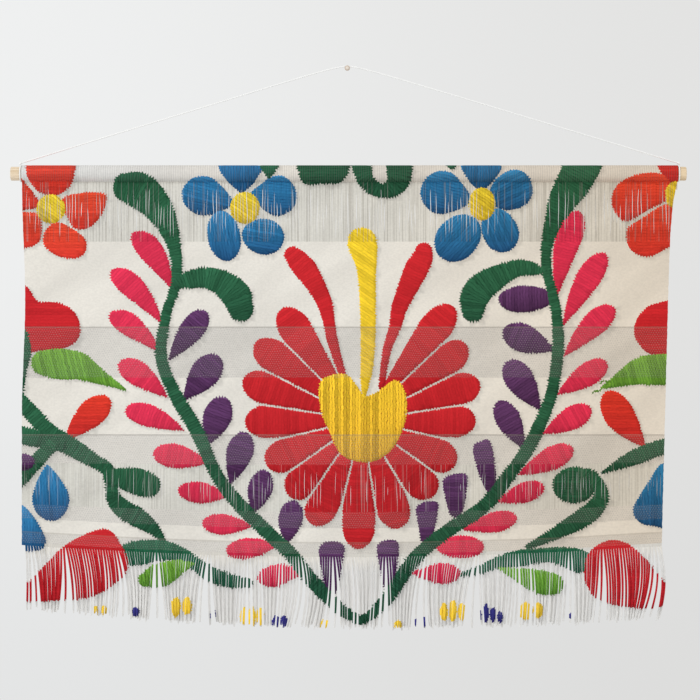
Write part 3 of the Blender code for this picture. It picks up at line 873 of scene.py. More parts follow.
# How far in from the edges its other places stay, how uneven the selvedges are, and the gap to the strip
GRID_MARGIN = 0.003
RING_MARGIN = 0.001
UNEVEN_IN = 0.0003
UNEVEN_OUT = 0.0002
HEM_GAP = 0.00002
# It is cut in millimetres, and places that lie closer than this are merged
MILLI = 1000.0
MERGE_WITHIN = 1e-4

# Slits of the upper and the lower open band: the share of the gaps between threads that have one, and
# the greatest half width
SLIT_SHARES = (0.66, 0.42)
SLIT_WIDTHS = (0.00042, 0.00027)
SLIT_NARROWEST = 0.00015
# How near a slit comes to its band's edges and the selvedges, how far in its ends may lie as shares
# of the band, how much they keep to the edges, and how blunt it is
SLIT_FROM_TOP = 0.0022
SLIT_FROM_END = 0.0020
SLIT_MARGIN = 0.002
SLIT_LATEST = 0.60
SLIT_EARLIEST = 0.52
SLIT_LEAN = 1.4
SLIT_ROUND = 0.6
SLIT_STEPS = 6

# How a warp thread sways: how far, and how fast from thread to thread and down the cloth
THREAD_SWAYS = ((0.0005, 1.7, 60.0), (0.0003, 0.63, 131.0))


def sheet_outline(rng):
    """The flat sheet's edge, both selvedges a little uneven."""
    hem = HEM_DEPTH - HEM_GAP
    top = -POCKET_ARC - HEM_FLAP
    ring = []
    across = int(WOVEN_WIDTH / EDGE_STEP)
    for i in range(across + 1):
        x = left_edge(hem) + (right_edge(hem) - left_edge(hem)) * i / across
        ring.append((x, hem + bow_at(x, hem)))
    down = int(HEM_DEPTH / EDGE_STEP)
    for i in range(1, down + 1):
        depth = hem * (1.0 - i / down)
        ring.append((right_edge(depth) + rng.uniform(-UNEVEN_IN, UNEVEN_OUT), depth))
    rows = [-POCKET_ARC * i / POCKET_ROWS for i in range(1, POCKET_ROWS + 1)] + [top]
    ring += [(POCKET_RIGHT, row) for row in rows]
    ring += [(POCKET_LEFT, row) for row in rows[::-1]]
    for i in range(down):
        depth = hem * i / down
        ring.append((left_edge(depth) + rng.uniform(-UNEVEN_OUT, UNEVEN_IN), depth))
    return ring


def thread_line(index, depth):
    """Where the gap between two warp threads runs, wandering a little as it goes down."""
    sway = sum(reach * math.sin(index * fast + depth * down) for reach, fast, down in THREAD_SWAYS)
    return POCKET_LEFT + (index + 0.5) * THREAD_PITCH + sway


def slits(rng):
    """Long gaps between the warp threads of the open bands, as closed outlines in the flat frame."""
    found = []
    tops = [band.top for band in BANDS] + [HEM_DEPTH]
    opened = [(band, end) for band, end in zip(BANDS, tops[1:]) if band.weave == "open"]
    for (band, end), slit_share, widest in zip(opened, SLIT_SHARES, SLIT_WIDTHS):
        start, stop = band.top + SLIT_FROM_TOP, end - SLIT_FROM_END
        for index in range(1, int(WOVEN_WIDTH / THREAD_PITCH) - 1):
            if rng.random() > slit_share:
                continue
            a = start + (stop - start) * rng.uniform(0.0, SLIT_LATEST) ** SLIT_LEAN
            b = stop - (stop - start) * rng.uniform(0.0, SLIT_EARLIEST) ** SLIT_LEAN
            wide = rng.uniform(SLIT_NARROWEST, widest)
            left, right = [], []
            for k in range(SLIT_STEPS + 1):
                depth = a + (b - a) * k / SLIT_STEPS
                x = thread_line(index, depth)
                if not within_edges(x, depth, SLIT_MARGIN):
                    break
                down = depth + bow_at(x, depth)
                bulge = math.sin(math.pi * k / SLIT_STEPS) ** SLIT_ROUND if 0 < k < SLIT_STEPS else 0.0
                half = wide * bulge
                left.append((x - half, down))
                right.append((x + half, down))
            if len(left) == SLIT_STEPS + 1:
                found.append(left + right[-2:0:-1])
    return found


def grid_places():
    """Places spread over the whole sheet, with rows close together at the seam's crease."""
    places = []
    for i in range(1, int(WOVEN_WIDTH / GRID_STEP)):
        x = POCKET_LEFT + i * GRID_STEP
        for k in range(1, POCKET_ROWS):
            places.append((x, -POCKET_ARC * k / POCKET_ROWS))
        places.append((x, -POCKET_ARC - 0.5 * HEM_FLAP))
        down = FIRST_ROW
        while down < HEM_DEPTH + bow_at(x, HEM_DEPTH) - GRID_MARGIN:
            if within_edges(x, down, GRID_MARGIN):
                places.append((x, down))
            down += GRID_STEP * (CLOSE_ROWS if down < CLOSE_ROWS_TO else 1.0)
    return places


def crease_lines():
    """Rows of the sheet that have to be edges: the seam and its back."""
    lines = []
    for down in (0.0, -POCKET_ARC):
        count = int(WOVEN_WIDTH / GRID_STEP)
        xs = [POCKET_LEFT + WOVEN_WIDTH * i / count for i in range(count + 1)]
        lines.append([(x, down) for x in xs])
    return lines


def flat_triangles(shapes, rng):
    """The printed sheet cut into triangles in its flat frame: places, faces and slit outlines."""
    edge = sheet_outline(rng)
    gaps = slits(rng)
    places, lines = [], []

    def add(points, closed):
        start = len(places)
        places.extend((x * MILLI, down * MILLI) for x, down in points)
        count = len(points)
        lines.extend((start + i, start + i + 1) for i in range(count - 1))
        if closed:
            lines.append((start + count - 1, start))

    add(edge, True)
    for line in crease_lines():
        add(line, False)
    for gap in gaps:
        add(gap, True)
    for shape in shapes:
        if shape.top < PIN_ROW + (HEM_DEPTH + BOW - SEAM_Z) / PIXEL:
            add([sheet_place(column, row) for column, row in shape.outline], True)
            for column, row in ring_places(shape.outline):
                x, down = sheet_place(column, row)
                if within_edges(x, down, RING_MARGIN) and down < HEM_DEPTH - RING_MARGIN:
                    places.append((x * MILLI, down * MILLI))
    places.extend((x * MILLI, down * MILLI) for x, down in grid_places())
    cut = delaunay_2d_cdt(places, lines, [], 0, MERGE_WITHIN)
    verts = np.array([tuple(v) for v in cut[0]]) / MILLI
    faces = np.array([tuple(face) for face in cut[2]])
    centres = verts[faces].mean(axis=1)
    keep = inside(edge, centres[:, 0], centres[:, 1])
    for gap in gaps:
        keep &= ~inside(gap, centres[:, 0], centres[:, 1])
    return verts, faces[keep]


def photo_places(x, down):
    """Columns and rows in the photograph's frame of flat places on the sheet."""
    column, field = photo_place(x, SEAM_Z - down)
    turn = np.clip(-down / POCKET_OUTER, 0.0, math.pi)
    _, pocket = photo_place(x, ROD_Z - POCKET_OUTER * np.cos(turn))
    over = np.maximum(-down - POCKET_OUTER * math.pi, 0.0) / PIXEL
    return column, np.where(down >= 0.0, field, pocket - over)


def corner_verts(mesh):
    """The vertex at each of a mesh's face corners."""
    found = np.zeros(len(mesh.loops), dtype=np.int32)
    mesh.loops.foreach_get("vertex_index", found)
    return found


def add_object(name, data):
    made = bpy.data.objects.new(name, data)
    bpy.context.scene.collection.objects.link(made)
    return made


def add_finished(name, mesh, finish, sharp):
    """Adds a mesh with its material, shaded smooth but for edges sharper than an angle in degrees."""
    mesh.materials.append(finish)
    mesh.shade_smooth()
    mesh.set_sharp_from_angle(angle=math.radians(sharp))
    return add_object(name, mesh)


def build_cloth(shapes, finish):
    """The printed sheet: both faces, its edges and the walls of its slits, as one closed mesh."""
    rng = random.Random(CLOTH_SEED)
    verts, faces = flat_triangles(shapes, rng)
    used = np.unique(faces)
    renumber = np.zeros(len(verts), dtype=int)
    renumber[used] = np.arange(len(used))
    verts, faces = verts[used], renumber[faces]
    count = len(verts)
    front = [hung_point(x, down, -1) for x, down in verts]
    back = [hung_point(x, down, 1) for x, down in verts]
    edges = dict.fromkeys(pair for a, b, c in faces.tolist() for pair in ((a, b), (b, c), (c, a)))
    rim = [(a, b) for a, b in edges if (b, a) not in edges]
    walls = [(b, a, a + count, b + count) for a, b in rim]
    backs = (faces[:, ::-1] + count).tolist()
    mesh = bpy.data.meshes.new("printed_cloth")
    mesh.from_pydata(front + back, [], faces.tolist() + backs + walls)
    centres = verts[faces].mean(axis=1)
    owner = topmost(shapes, *photo_places(centres[:, 0], centres[:, 1]))
    corner_vert = corner_verts(mesh)
    flat = verts[corner_vert % count]
    corner_owner = np.full(len(mesh.loops), UNPRINTED)
    corner_owner[: 3 * len(faces)] = np.repeat(owner, 3)
    column, row = photo_places(flat[:, 0], flat[:, 1])
    ink, streak, amount, stitch = paint(shapes, corner_owner, column, row)
    amount[3 * len(faces) :] = 0.0
    write_paint(mesh, ink, streak, amount, stitch)
    depth = np.array([depth_at(x, down) for x, down in verts])[corner_vert % count]
    threads = (flat[:, 0] - POCKET_LEFT) / THREAD_PITCH
    weave = mesh.attributes.new("weave", "FLOAT_VECTOR", "CORNER")
    values = np.stack([threads, depth / FIELD_DEPTH, np.zeros(len(mesh.loops))], axis=1).astype(np.float32)
    weave.data.foreach_set("vector", values.ravel())
    return add_finished("printed_cloth", mesh, finish, SHARP_CLOTH)


# The fringe

STRAND_STEPS = 14
STRAND_SHARES = tuple(i / STRAND_STEPS for i in range(STRAND_STEPS + 1))
# A yarn's sides, its distance from its strand's middle, its half width, half thickness and end
YARN_SIDES = 6
YARN_APART = 0.00078
YARN_RADIUS = 0.00086
YARN_THICK = 0.00062
YARN_END = 0.55
YARN_LIFT = 0.0004
# How far a yarn's cut end is from its strand's, how far it turns about the other yarn from root to
# end, how much closer that brings the two, and how far it comes forward
YARN_CUT = (-0.0018, 0.0004)
YARN_TWIST = 5.0
FULL_TURN = 6.28
YARN_CLOSER = 0.25
YARN_FORWARD = 0.00018
# How far the print slips along a yarn, in the photograph's pixels, and how soon
YARN_LATE = 0.6
YARN_EVEN = 0.01
# The yarns' print is read at this step, their tone varies by this much, and their tint comes in over
# this drop
COLOUR_STEP = 0.0007
YARN_SHADE = 0.06
YARN_TINT = (0.95, 0.975, 1.035)
YARN_FADE = 0.02
STRIP_SHADE = -0.16
STRIP_ROWS = 3
SHARP_YARN = 62
FRINGE_SEED = 23


def bend_at(x, share):
    """Sideways drift that the strands near x share, at that share of the fringe's length."""
    total = 0.0
    for bend in BENDS:
        bell = math.exp(-(((x - bend.x) / bend.half_width) ** 2))
        total += bell * (bend.tip * share + bend.belly * math.sin(math.pi * min(share, 1.0)))
    return total


def strand_roots():
    """The middle of each strand where it leaves the weave."""
    start = left_edge(FIELD_DEPTH) + BARE_CORNER
    pitch = (right_edge(FIELD_DEPTH) - start) / STRAND_COUNT
    return [start + pitch * (i + 0.5) for i in range(STRAND_COUNT)], pitch


def bunch_places(roots, pitch):
    """Where the strands would hang if they did nothing but bunch up."""
    gaps = []
    for i in range(STRAND_COUNT):
        wave = sum(math.sin(turn * i + start) for turn, start in BUNCH_WAVES)
        gaps.append(max(wave, 0.0) ** 2)
    mean = sum(gaps) / STRAND_COUNT
    places, place = [], roots[0] - 0.5 * pitch
    for gap in gaps:
        room = pitch * (BUNCHED + (1.0 - BUNCHED) * gap / mean)
        places.append(place + 0.5 * room)
        place += room
    return places


def strand_places(share):
    """The middle of every strand at that share of the fringe's length."""
    roots, pitch = strand_roots()
    along = share**BUNCH_SPREAD
    places = []
    for root, bunched in zip(roots, bunch_places(roots, pitch)):
        place = root + (bunched - root) * along + bend_at(root, share)
        if places:
            place = max(place, places[-1] + 0.5 * (STRAND_WIDTH + CLEARANCE))
        places.append(place)
    return places


# How raggedly the strands are cut: the share of the whole, the turn from strand to strand, the start
RAGGED_WAVES = ((0.6, 2.3, 0.0), (0.4, 5.1, 1.0))


def strand_length(index, x):
    """Strands are cut unevenly, longer to the right and in the middle."""
    side = 2.0 * x / WOVEN_WIDTH
    ragged = sum(part * math.sin(turn * index + start) for part, turn, start in RAGGED_WAVES)
    return FRINGE_LENGTH - MIDDLE_DROP + MIDDLE_DROP * (1.0 - side**2) + SLANT * side + RAGGED * ragged


def strip_point(x, above, behind):
    """A point of the fringe's strip: above its lower edge, behind its middle plane."""
    y = ROD_Y - fold_at(x, FIELD_DEPTH) + behind
    return (x, y, SEAM_Z - FIELD_DEPTH - bow_at(x, FIELD_DEPTH) + above)


def yarn_line(index, side, tables, rng):
    """Centre line of one of a strand's two yarns, as (x, y, drop) at each of the shares."""
    length = strand_length(index, tables[0][index]) + rng.uniform(*YARN_CUT)
    layer = STRAND_LAYER * (1.0 if index % 2 else -1.0)
    phase = rng.uniform(0.0, FULL_TURN)
    line = []
    for share, row in zip(STRAND_SHARES, tables):
        settled = smooth_step(share / LAYER_STOP)
        twist = YARN_TWIST * share + phase
        apart = YARN_APART * (1.0 - YARN_CLOSER * settled * (1.0 + math.sin(twist)))
        y = layer * settled + YARN_FORWARD * settled * side * math.cos(twist)
        line.append((row[index] + side * apart, y, share * length))
    return line


def add_yarn(verts, faces, looks, shapes, line, root, late, shade):
    """Adds one yarn as a closed tube, with rings where it bends and where its print changes."""
    _, root_y, root_z = root
    drops = np.arange(0.0, line[-1, 2], COLOUR_STEP)
    column, row = photo_place(np.interp(drops, line[:, 2], line[:, 0]), root_z - drops)
    owner = topmost(shapes, column, row + late * np.minimum(drops / YARN_EVEN, 1.0))
    changes = np.flatnonzero(np.diff(owner)) + 1
    stops = sorted(set(line[:, 2].tolist()) | set(drops[changes].tolist()))
    before = None
    for i, drop in enumerate(stops):
        x = float(np.interp(drop, line[:, 2], line[:, 0]))
        y = root_y + float(np.interp(drop, line[:, 2], line[:, 1]))
        slim = YARN_END if i == len(stops) - 1 else 1.0
        ring = list(range(len(verts), len(verts) + YARN_SIDES))
        for k in range(YARN_SIDES):
            turn = 2.0 * math.pi * k / YARN_SIDES
            across = slim * YARN_RADIUS * math.cos(turn)
            verts.append((x + across, y - slim * YARN_THICK * math.sin(turn), root_z - drop + YARN_LIFT))
        if before is None:
            faces.append(tuple(ring))
            looks.append((owner[0], shade))
        else:
            middle = 0.5 * (stops[i - 1] + drop)
            who = owner[min(int(middle / COLOUR_STEP), len(owner) - 1)]
            faces.extend(tube_faces([before, ring]))
            looks.extend((who if k < YARN_SIDES // 2 else UNPRINTED, shade) for k in range(YARN_SIDES))
        before = ring
    faces.append(tuple(before[::-1]))
    looks.append((who, shade))


def tube_faces(rings):
    """Faces between each ring of corners and the next."""
    faces = []
    for a, b in zip(rings, rings[1:]):
        for k in range(len(a)):
            after = (k + 1) % len(a)
            faces.append((a[k], a[after], b[after], b[k]))
    return faces


def build_fringe(shapes, finish):
    """The last rows of the weave and the yarns that hang from them, printed like the sheet."""
    rng = random.Random(FRINGE_SEED)
    tables = [strand_places(share) for share in STRAND_SHARES]
    verts, faces, looks = [], [], []
    for index in range(STRAND_COUNT):
        root = strip_point(tables[0][index], 0.0, 0.0)
        for side in (-1, 1):
            line = np.array(yarn_line(index, side, tables, rng))
            late = rng.uniform(-YARN_LATE, YARN_LATE)
            shade = rng.uniform(-YARN_SHADE, YARN_SHADE)
            add_yarn(verts, faces, looks, shapes, line, root, late, shade)
    add_strip(verts, faces, looks, shapes, tables[0][-1])
    mesh = bpy.data.meshes.new("cotton_fringe")
    mesh.from_pydata(verts, [], faces)
    points = np.array(verts)[corner_verts(mesh)]
    sizes = [len(face) for face in faces]
    owner = np.repeat([who for who, _ in looks], sizes)
    shade = np.repeat([tone for _, tone in looks], sizes)
    ink, streak, amount, stitch = paint(shapes, owner, *photo_place(points[:, 0], points[:, 2]))
    bows = bow_at(0.0, FIELD_DEPTH) * (1.0 - (2.0 * points[:, 0] / WOVEN_WIDTH) ** 2)
    drop = np.clip((SEAM_Z - FIELD_DEPTH - bows - points[:, 2]) / YARN_FADE, 0.0, 1.0)
    tint = 1.0 + drop[:, None] * (np.array(YARN_TINT) - 1.0)
    write_paint(mesh, ink * tint * (1.0 + shade)[:, None], streak, amount, stitch)
    return add_finished("cotton_fringe", mesh, finish, SHARP_YARN)


def add_strip(verts, faces, looks, shapes, last_root):
    """The strip of weave that the yarns hang from: a thin closed band in small printed cells."""
    left = left_edge(FIELD_DEPTH)
    right = last_root + 0.5 * strand_roots()[1]
    cells = 2 * STRAND_COUNT
    columns = []
    for i in range(cells + 1):
        x = left + (right - left) * i / cells
        heights = [STRIP_HEIGHT * (1.0 - k / STRIP_ROWS) for k in range(STRIP_ROWS + 1)]
        loop = [strip_point(x, height, -HALF_THICKNESS) for height in heights]
        loop += [strip_point(x, 0.0, HALF_THICKNESS), strip_point(x, STRIP_HEIGHT, HALF_THICKNESS)]
        columns.append(range(len(verts), len(verts) + len(loop)))
        verts.extend(loop)
    for pair in zip(columns, columns[1:]):
        for k, corners in enumerate(tube_faces(pair)):
            faces.append(corners)
            if k < STRIP_ROWS:
                middle = np.mean([verts[corner] for corner in corners], axis=0)
                owner = topmost(shapes, *photo_place(middle[:1], middle[2:]))
                looks.append((owner[0], STRIP_SHADE))
            else:
                looks.append((UNPRINTED, 0.0))
    faces += [tuple(columns[0])[::-1], tuple(columns[-1])]
    looks += [(UNPRINTED, 0.0), (UNPRINTED, 0.0)]


# Small hard pieces and the cord

PIN_SHANK = 0.0011
PIN_PROFILE = (
    (-0.0136, 0.0000),
    (-0.01358, 0.0007),
    (-0.0134, 0.0014),
    (-0.0130, 0.0022),
    (-0.0125, 0.0029),
    (-0.0119, 0.0034),
    (-0.0112, 0.0037),
    (-0.0108, 0.0036),
    (-0.0106, 0.0030),
    (-0.0105, PIN_SHANK),
    (0.0110, PIN_SHANK),
    (0.0145, 0.0000),
)
PIN_SIDES = 48
SHARP_PIN = 50
LOOP_STEPS = 96
LOOP_TWISTS = 22
LOOP_SIDES = 12
LOOP_STRANDS = 3
KNOT_STEPS = 22
KNOT_SIDES = 20
KNOT_TURNS = 3
KNOT_REACH = 1.05
KNOT_THINNEST = 0.0002
SHARP_CORD = 60
STRAND_RIDGE = 0.10
KNOT_RIDGE = 0.12


def add_mesh(name, verts, faces, finish, sharp):
    mesh = bpy.data.meshes.new(name)
    mesh.from_pydata(verts, [], faces)
    bm = bmesh.new()
    bm.from_mesh(mesh)
    bmesh.ops.recalc_face_normals(bm, faces=bm.faces)
    bm.to_mesh(mesh)
    bm.free()
    return add_finished(name, mesh, finish, sharp)


def build_pin(finish):
    """The pin, turned about its axis, with a domed head."""
    verts, faces, before = [], [], None
    for place, radius in PIN_PROFILE:
        count = 1 if radius == 0.0 else PIN_SIDES
        ring = list(range(len(verts), len(verts) + count))
        for k in range(count):
            turn = 2.0 * math.pi * k / PIN_SIDES
            verts.append((radius * math.cos(turn), place, radius * math.sin(turn)))
        if before is not None:
            for k in range(PIN_SIDES):
                corners = [before[k % len(before)], before[(k + 1) % len(before)]]
                corners += [ring[(k + 1) % count], ring[k % count]]
                faces.append(tuple(dict.fromkeys(corners)))
        before = ring
    return add_mesh("wall_pin_finish", verts, faces, finish, SHARP_PIN)


def numbered_rings(count, sides):
    """The corner numbers of rings that are made one after another."""
    return [range(i * sides, (i + 1) * sides) for i in range(count)]


def build_loop(name, x, finish):
    """A turn of twisted cord tied round the rod."""
    verts = []
    for i in range(LOOP_STEPS):
        angle = 2.0 * math.pi * i / LOOP_STEPS
        for k in range(LOOP_SIDES):
            turn = 2.0 * math.pi * k / LOOP_SIDES
            wave = math.cos(LOOP_STRANDS * turn + LOOP_TWISTS * angle)
            reach = CORD_RADIUS * (1.0 - STRAND_RIDGE + STRAND_RIDGE * wave)
            verts.append(pocket_point(x + reach * math.sin(turn), angle, LOOP_RING + reach * math.cos(turn)))
    rings = numbered_rings(LOOP_STEPS, LOOP_SIDES)
    return add_mesh(name, verts, tube_faces(rings + rings[:1]), finish, SHARP_CORD)


def build_knot(name, centre, inward, finish):
    """A small tight knot: a wrapped bulb whose turns show as ridges."""
    verts = []
    for i in range(KNOT_STEPS + 1):
        share = i / KNOT_STEPS
        along = (2.0 * share - 1.0) * KNOT_RADIUS * KNOT_REACH
        bulb = math.sqrt(max(1.0 - (2.0 * share - 1.0) ** 2, 0.0))
        for k in range(KNOT_SIDES):
            turn = 2.0 * math.pi * k / KNOT_SIDES
            wave = math.cos(turn + 2.0 * math.pi * KNOT_TURNS * share)
            radius = max(KNOT_RADIUS * bulb * (1.0 - KNOT_RIDGE + KNOT_RIDGE * wave), KNOT_THINNEST)
            x = centre[0] + inward * along
            z = centre[2] + KNOT_SLOPE * along + radius * math.cos(turn)
            verts.append((x, centre[1] + radius * math.sin(turn), z))
    rings = numbered_rings(KNOT_STEPS + 1, KNOT_SIDES)
    faces = tube_faces(rings) + [tuple(rings[0])[::-1], tuple(rings[-1])]
    return add_mesh(name, verts, faces, finish, SHARP_CORD)


def build_cord(finish):
    """The hanging cord from knot to knot, over the pin."""
    line = smooth_route(CORD_ROUTE, CORD_POINTS)
    curve = bpy.data.curves.new("cotton_cord", "CURVE")
    curve.dimensions = "3D"
    curve.bevel_depth = CORD_RADIUS
    curve.bevel_resolution = 3
    curve.use_fill_caps = True
    spline = curve.splines.new("POLY")
    spline.points.add(len(line) - 1)
    for target, point in zip(spline.points, line):
        target.co = (*point, 1.0)
    curve.materials.append(finish)
    return add_object("cotton_cord", curve), line


# Materials. Their tints are linear colours, with a last 1.0 for alpha.

WHITE = (1.0, 1.0, 1.0, 1.0)
# Painted shade over the open bands, greyer than the plain weave
OPEN_BAND_SHADE = (0.78, 0.81, 0.81, 1.0)
# Painted shade seen between the open band's threads: pale grey lines over the print
THREAD_GAP_SHADE = (0.66, 0.63, 0.60, 1.0)
# Painted shade in the grooves between the warp threads
GROOVE_SHADE = (0.62, 0.60, 0.58, 1.0)
DOTTED_WEAVE = (0.84, 0.84, 0.85, 1.0)
# Painted shade seen through the dotted weave's holes
HOLE_SHADE = (0.45, 0.44, 0.43, 1.0)
BAND_LINES = (0.22, 0.19, 0.16, 1.0)
RIB_SHADE = (0.20, 0.19, 0.18, 1.0)
# Painted shade: the cloth darker and warmer towards the right
CLOTH_SHADE_AT_RIGHT = (0.95, 0.87, 0.78, 1.0)
POCKET_AT_LEFT = (0.90, 0.935, 1.0, 1.0)
POCKET_AT_RIGHT = (0.93, 0.91, 0.90, 1.0)
# Painted shade: the rod darker towards the right
ROD_SHADE_AT_RIGHT = (0.91, 0.86, 0.76, 1.0)
# Painted shade in the grooves of the cord's twist
CORD_GROOVE_SHADE = (0.84, 0.84, 0.83, 1.0)
CORD_LIGHT = (0.90, 0.90, 0.89, 1.0)

# A motif's streak amount is above this, and the bare ground's below it
PRINTED_ABOVE = 0.1
# Shares of the field's depth that the upper open band ends above and the lower one starts below
MIDDLE_OF_FIELD = (0.3, 0.7)
LINE_WIDTH = 0.0011
WARP_PITCH = 0.0014
WEFT_PITCH = 0.0011
BUMP_DISTANCE = 0.0002
# Rows of a honeycomb lie this many pitches apart, and its cells are counted from far off, above zero
HONEYCOMB = 1.732
COUNT_FROM = 500.0
# A stitch's wander, the jump in the noise from one row of stitches to the next, and the noise's
# stretch along a row, in the photograph's pixels
STITCH_WANDER = 3.0
ROW_JUMP = 7.3
ROW_STRETCH = 0.24
# The stitches' mean tone, and how much it varies from stitch to stitch and along a row
MEAN_TONE = 1.10
TONE_BY_STITCH = 0.72
TONE_ALONG = 1.1


class Value:
    """A value or colour in a shader's tree. Arithmetic on it adds the nodes that work it out."""

    def __init__(self, tree, socket):
        self.tree = tree
        self.socket = socket

    def maths(self, operation, other=0.0):
        return add_node(self.tree, "Math", {0: self, 1: other}, 0, operation=operation)

    def __add__(self, other):
        return self.maths("ADD", other)

    def __sub__(self, other):
        return self.maths("SUBTRACT", other)

    def __rsub__(self, other):
        return add_node(self.tree, "Math", {0: other, 1: self}, 0, operation="SUBTRACT")

    def __mul__(self, other):
        return self.maths("MULTIPLY", other)

    def __truediv__(self, other):
        return self.maths("DIVIDE", other)

    def ranged(self, low, high, to_low=0.0, to_high=1.0):
        """The value mapped smoothly from one range to another."""
        inputs = {"Value": self, "From Min": low, "From Max": high, "To Min": to_low, "To Max": to_high}
        return add_node(self.tree, "MapRange", inputs, "Result", interpolation_type="SMOOTHSTEP")

    def noise(self, scale, detail=2.0, roughness=0.5):
        """Noise at this place. The scale is one number, or one for each axis."""
        place = self
        if isinstance(scale, tuple):
            place = add_node(self.tree, "VectorMath", {0: self, 1: scale}, "Vector", operation="MULTIPLY")
            scale = 1.0
        inputs = {"Vector": place, "Scale": scale, "Detail": detail, "Roughness": roughness}
        return add_node(self.tree, "TexNoise", inputs, "Fac")

    def spun(self, scale, distortion):
        """Slanting ridges of spun or twisted yarn at this place."""
        inputs = {"Vector": self, "Scale": scale, "Distortion": distortion}
        return add_node(self.tree, "TexWave", inputs, "Fac", bands_direction="DIAGONAL")

    def parts(self):
        """The X, Y and Z of this place."""
        split = add_node(self.tree, "SeparateXYZ", {"Vector": self}, 0).socket.node
        return [Value(self.tree, socket) for socket in split.outputs]

    def between(self, a, b):
        """A colour that runs from a to b as this value runs from 0 to 1."""
        return add_node(self.tree, "Mix", {0: self, 6: a, 7: b}, 2, data_type="RGBA")

    def times(self, tint, share=1.0):
        """This colour multiplied by a tint, or by a share of it."""
        inputs = {0: share, 6: self, 7: tint}
        return add_node(self.tree, "Mix", inputs, 2, data_type="RGBA", blend_type="MULTIPLY")


def add_node(tree, kind, inputs, output, **settings):
    """Adds a shader node, with Values or plain numbers for its inputs, and returns one output."""
    made = tree.nodes.new("ShaderNode" + kind)
    for name, value in settings.items():
        setattr(made, name, value)
    for key, value in inputs.items():
        if isinstance(value, Value):
            tree.links.new(value.socket, made.inputs[key])
        else:
            made.inputs[key].default_value = value
    return Value(tree, made.outputs[output])


def stored(tree, name, output="Vector"):
    """A value stored on the mesh."""
    return add_node(tree, "Attribute", {}, output, attribute_name=name)


def combined(x, y, z):
    return add_node(x.tree, "CombineXYZ", {"X": x, "Y": y, "Z": z}, "Vector")


def from_middle(value):
    """How far a value is from the middle between two whole numbers."""
    return (value.maths("FRACT") - 0.5).maths("ABSOLUTE")


def waves(value, pitch):
    return (value * (2.0 * math.pi / pitch)).maths("SINE")


def screen(colour):
    """A screen colour from 0 to 255 as a shader's colour."""
    return (*linear_colour(colour).tolist(), 1.0)


def steps_ramp(value, stops):
    """A ramp of flat steps from (place, level) pairs."""
    made = add_node(value.tree, "ValToRGB", {"Fac": value}, "Color")
    ramp = made.socket.node.color_ramp
    ramp.interpolation = "CONSTANT"
    for element, (place, level) in zip(list(ramp.elements), stops):
        element.position = place
        element.color = (level, level, level, 1.0)
    for place, level in stops[2:]:
        ramp.elements.new(place).color = (level, level, level, 1.0)
    return made


def band_mask(depth, weave):
    return steps_ramp(depth, [(band.top / FIELD_DEPTH, float(band.weave == weave)) for band in BANDS])


def line_mask(depth):
    """Thin darker lines where one weave gives way to the next."""
    width = LINE_WIDTH / FIELD_DEPTH
    stops = [(0.0, 0.0)]
    for band in BANDS[1:]:
        stops += [(band.top / FIELD_DEPTH - width, 1.0), (band.top / FIELD_DEPTH + 0.3 * width, 0.0)]
    return steps_ramp(depth, stops)


def new_material(name, looks, roughness, specular, bump=0.0):
    """A material. Its looks are a function from the place on the object to colour and height."""
    made = bpy.data.materials.new(name)
    made.use_nodes = True
    tree = made.node_tree
    shader = tree.nodes["Principled BSDF"]
    shader.inputs["Roughness"].default_value = roughness
    shader.inputs["Specular IOR Level"].default_value = specular
    colour, height = looks(add_node(tree, "TexCoord", {}, "Object"))
    tree.links.new(colour.socket, shader.inputs["Base Color"])
    if height is not None:
        inputs = {"Height": height, "Strength": bump, "Distance": BUMP_DISTANCE}
        tree.links.new(add_node(tree, "Bump", inputs, "Normal").socket, shader.inputs["Normal"])
    return made


def stitched_ink(tree):
    """The print's colour with its stitches, from the values stored on the mesh, and their height."""
    amount = stored(tree, "streak", "Alpha")
    stitch = stored(tree, "stitch")
    across, along, shift = stitch.parts()
    turn = (across + stitch.noise((0.30, 0.10, 1.0), 1.0) * STITCH_WANDER) / STITCH_PITCH
    row = turn.maths("FLOOR")
    tone = add_node(tree, "TexWhiteNoise", {"Vector": combined(row, shift, 0.0)}, "Value")
    length = combined(row * ROW_JUMP, along * ROW_STRETCH, shift).noise(1.0, 2.0, 0.6)
    gap = from_middle(turn).ranged(0.24, 0.48) * length.ranged(0.42, 0.60, 0.15, 1.0) * amount
    colour = gap.between(stored(tree, "ink", "Color"), stored(tree, "streak", "Color"))
    uneven = (tone - 0.5) * TONE_BY_STITCH + (length - 0.5) * TONE_ALONG
    return colour.times(uneven * amount + MEAN_TONE), 1.0 - gap


def open_weave(colour, place, count, depth, printed):
    """Open bands: painted shade over them, in grey grooves between the warp threads and in pale lines over
    the print. Returns the colour and the grooves.
    """
    opened = band_mask(depth, "open") * depth.ranged(-0.001, 0.001)
    at = count + place.noise((40.0, 40.0, 8.0), 1.0) * 0.35
    vary = place.noise((160.0, 160.0, 14.0)).ranged(0.35, 0.65, 0.25, 1.0)
    fine = place.noise((620.0, 620.0, 5.0), 1.0).ranged(0.54, 0.68)
    # Painted shade in the grooves between the warp threads and in fine lines beside them
    groove = (from_middle(at).ranged(0.24, 0.05) * vary * 0.7).maths("MAXIMUM", fine)
    groove = groove * opened * depth.ranged(*MIDDLE_OF_FIELD, 1.0, 0.65)
    # Painted shade over the open bands, stronger on the bare ground than on the print
    bare = opened * printed.ranged(0.0, 1.0, 1.0, 0.7) * depth.ranged(*MIDDLE_OF_FIELD, 0.50, 0.64)
    # Painted shade seen between the threads: pale grey lines over the print in the open bands
    thread_gaps = place.noise((620.0, 620.0, 6.0), 1.0).ranged(0.60, 0.72, 0.0, 0.26) * (opened * printed)
    colour = thread_gaps.between(colour.times(OPEN_BAND_SHADE, bare), THREAD_GAP_SHADE)
    return colour.times(GROOVE_SHADE, groove * 0.66), groove


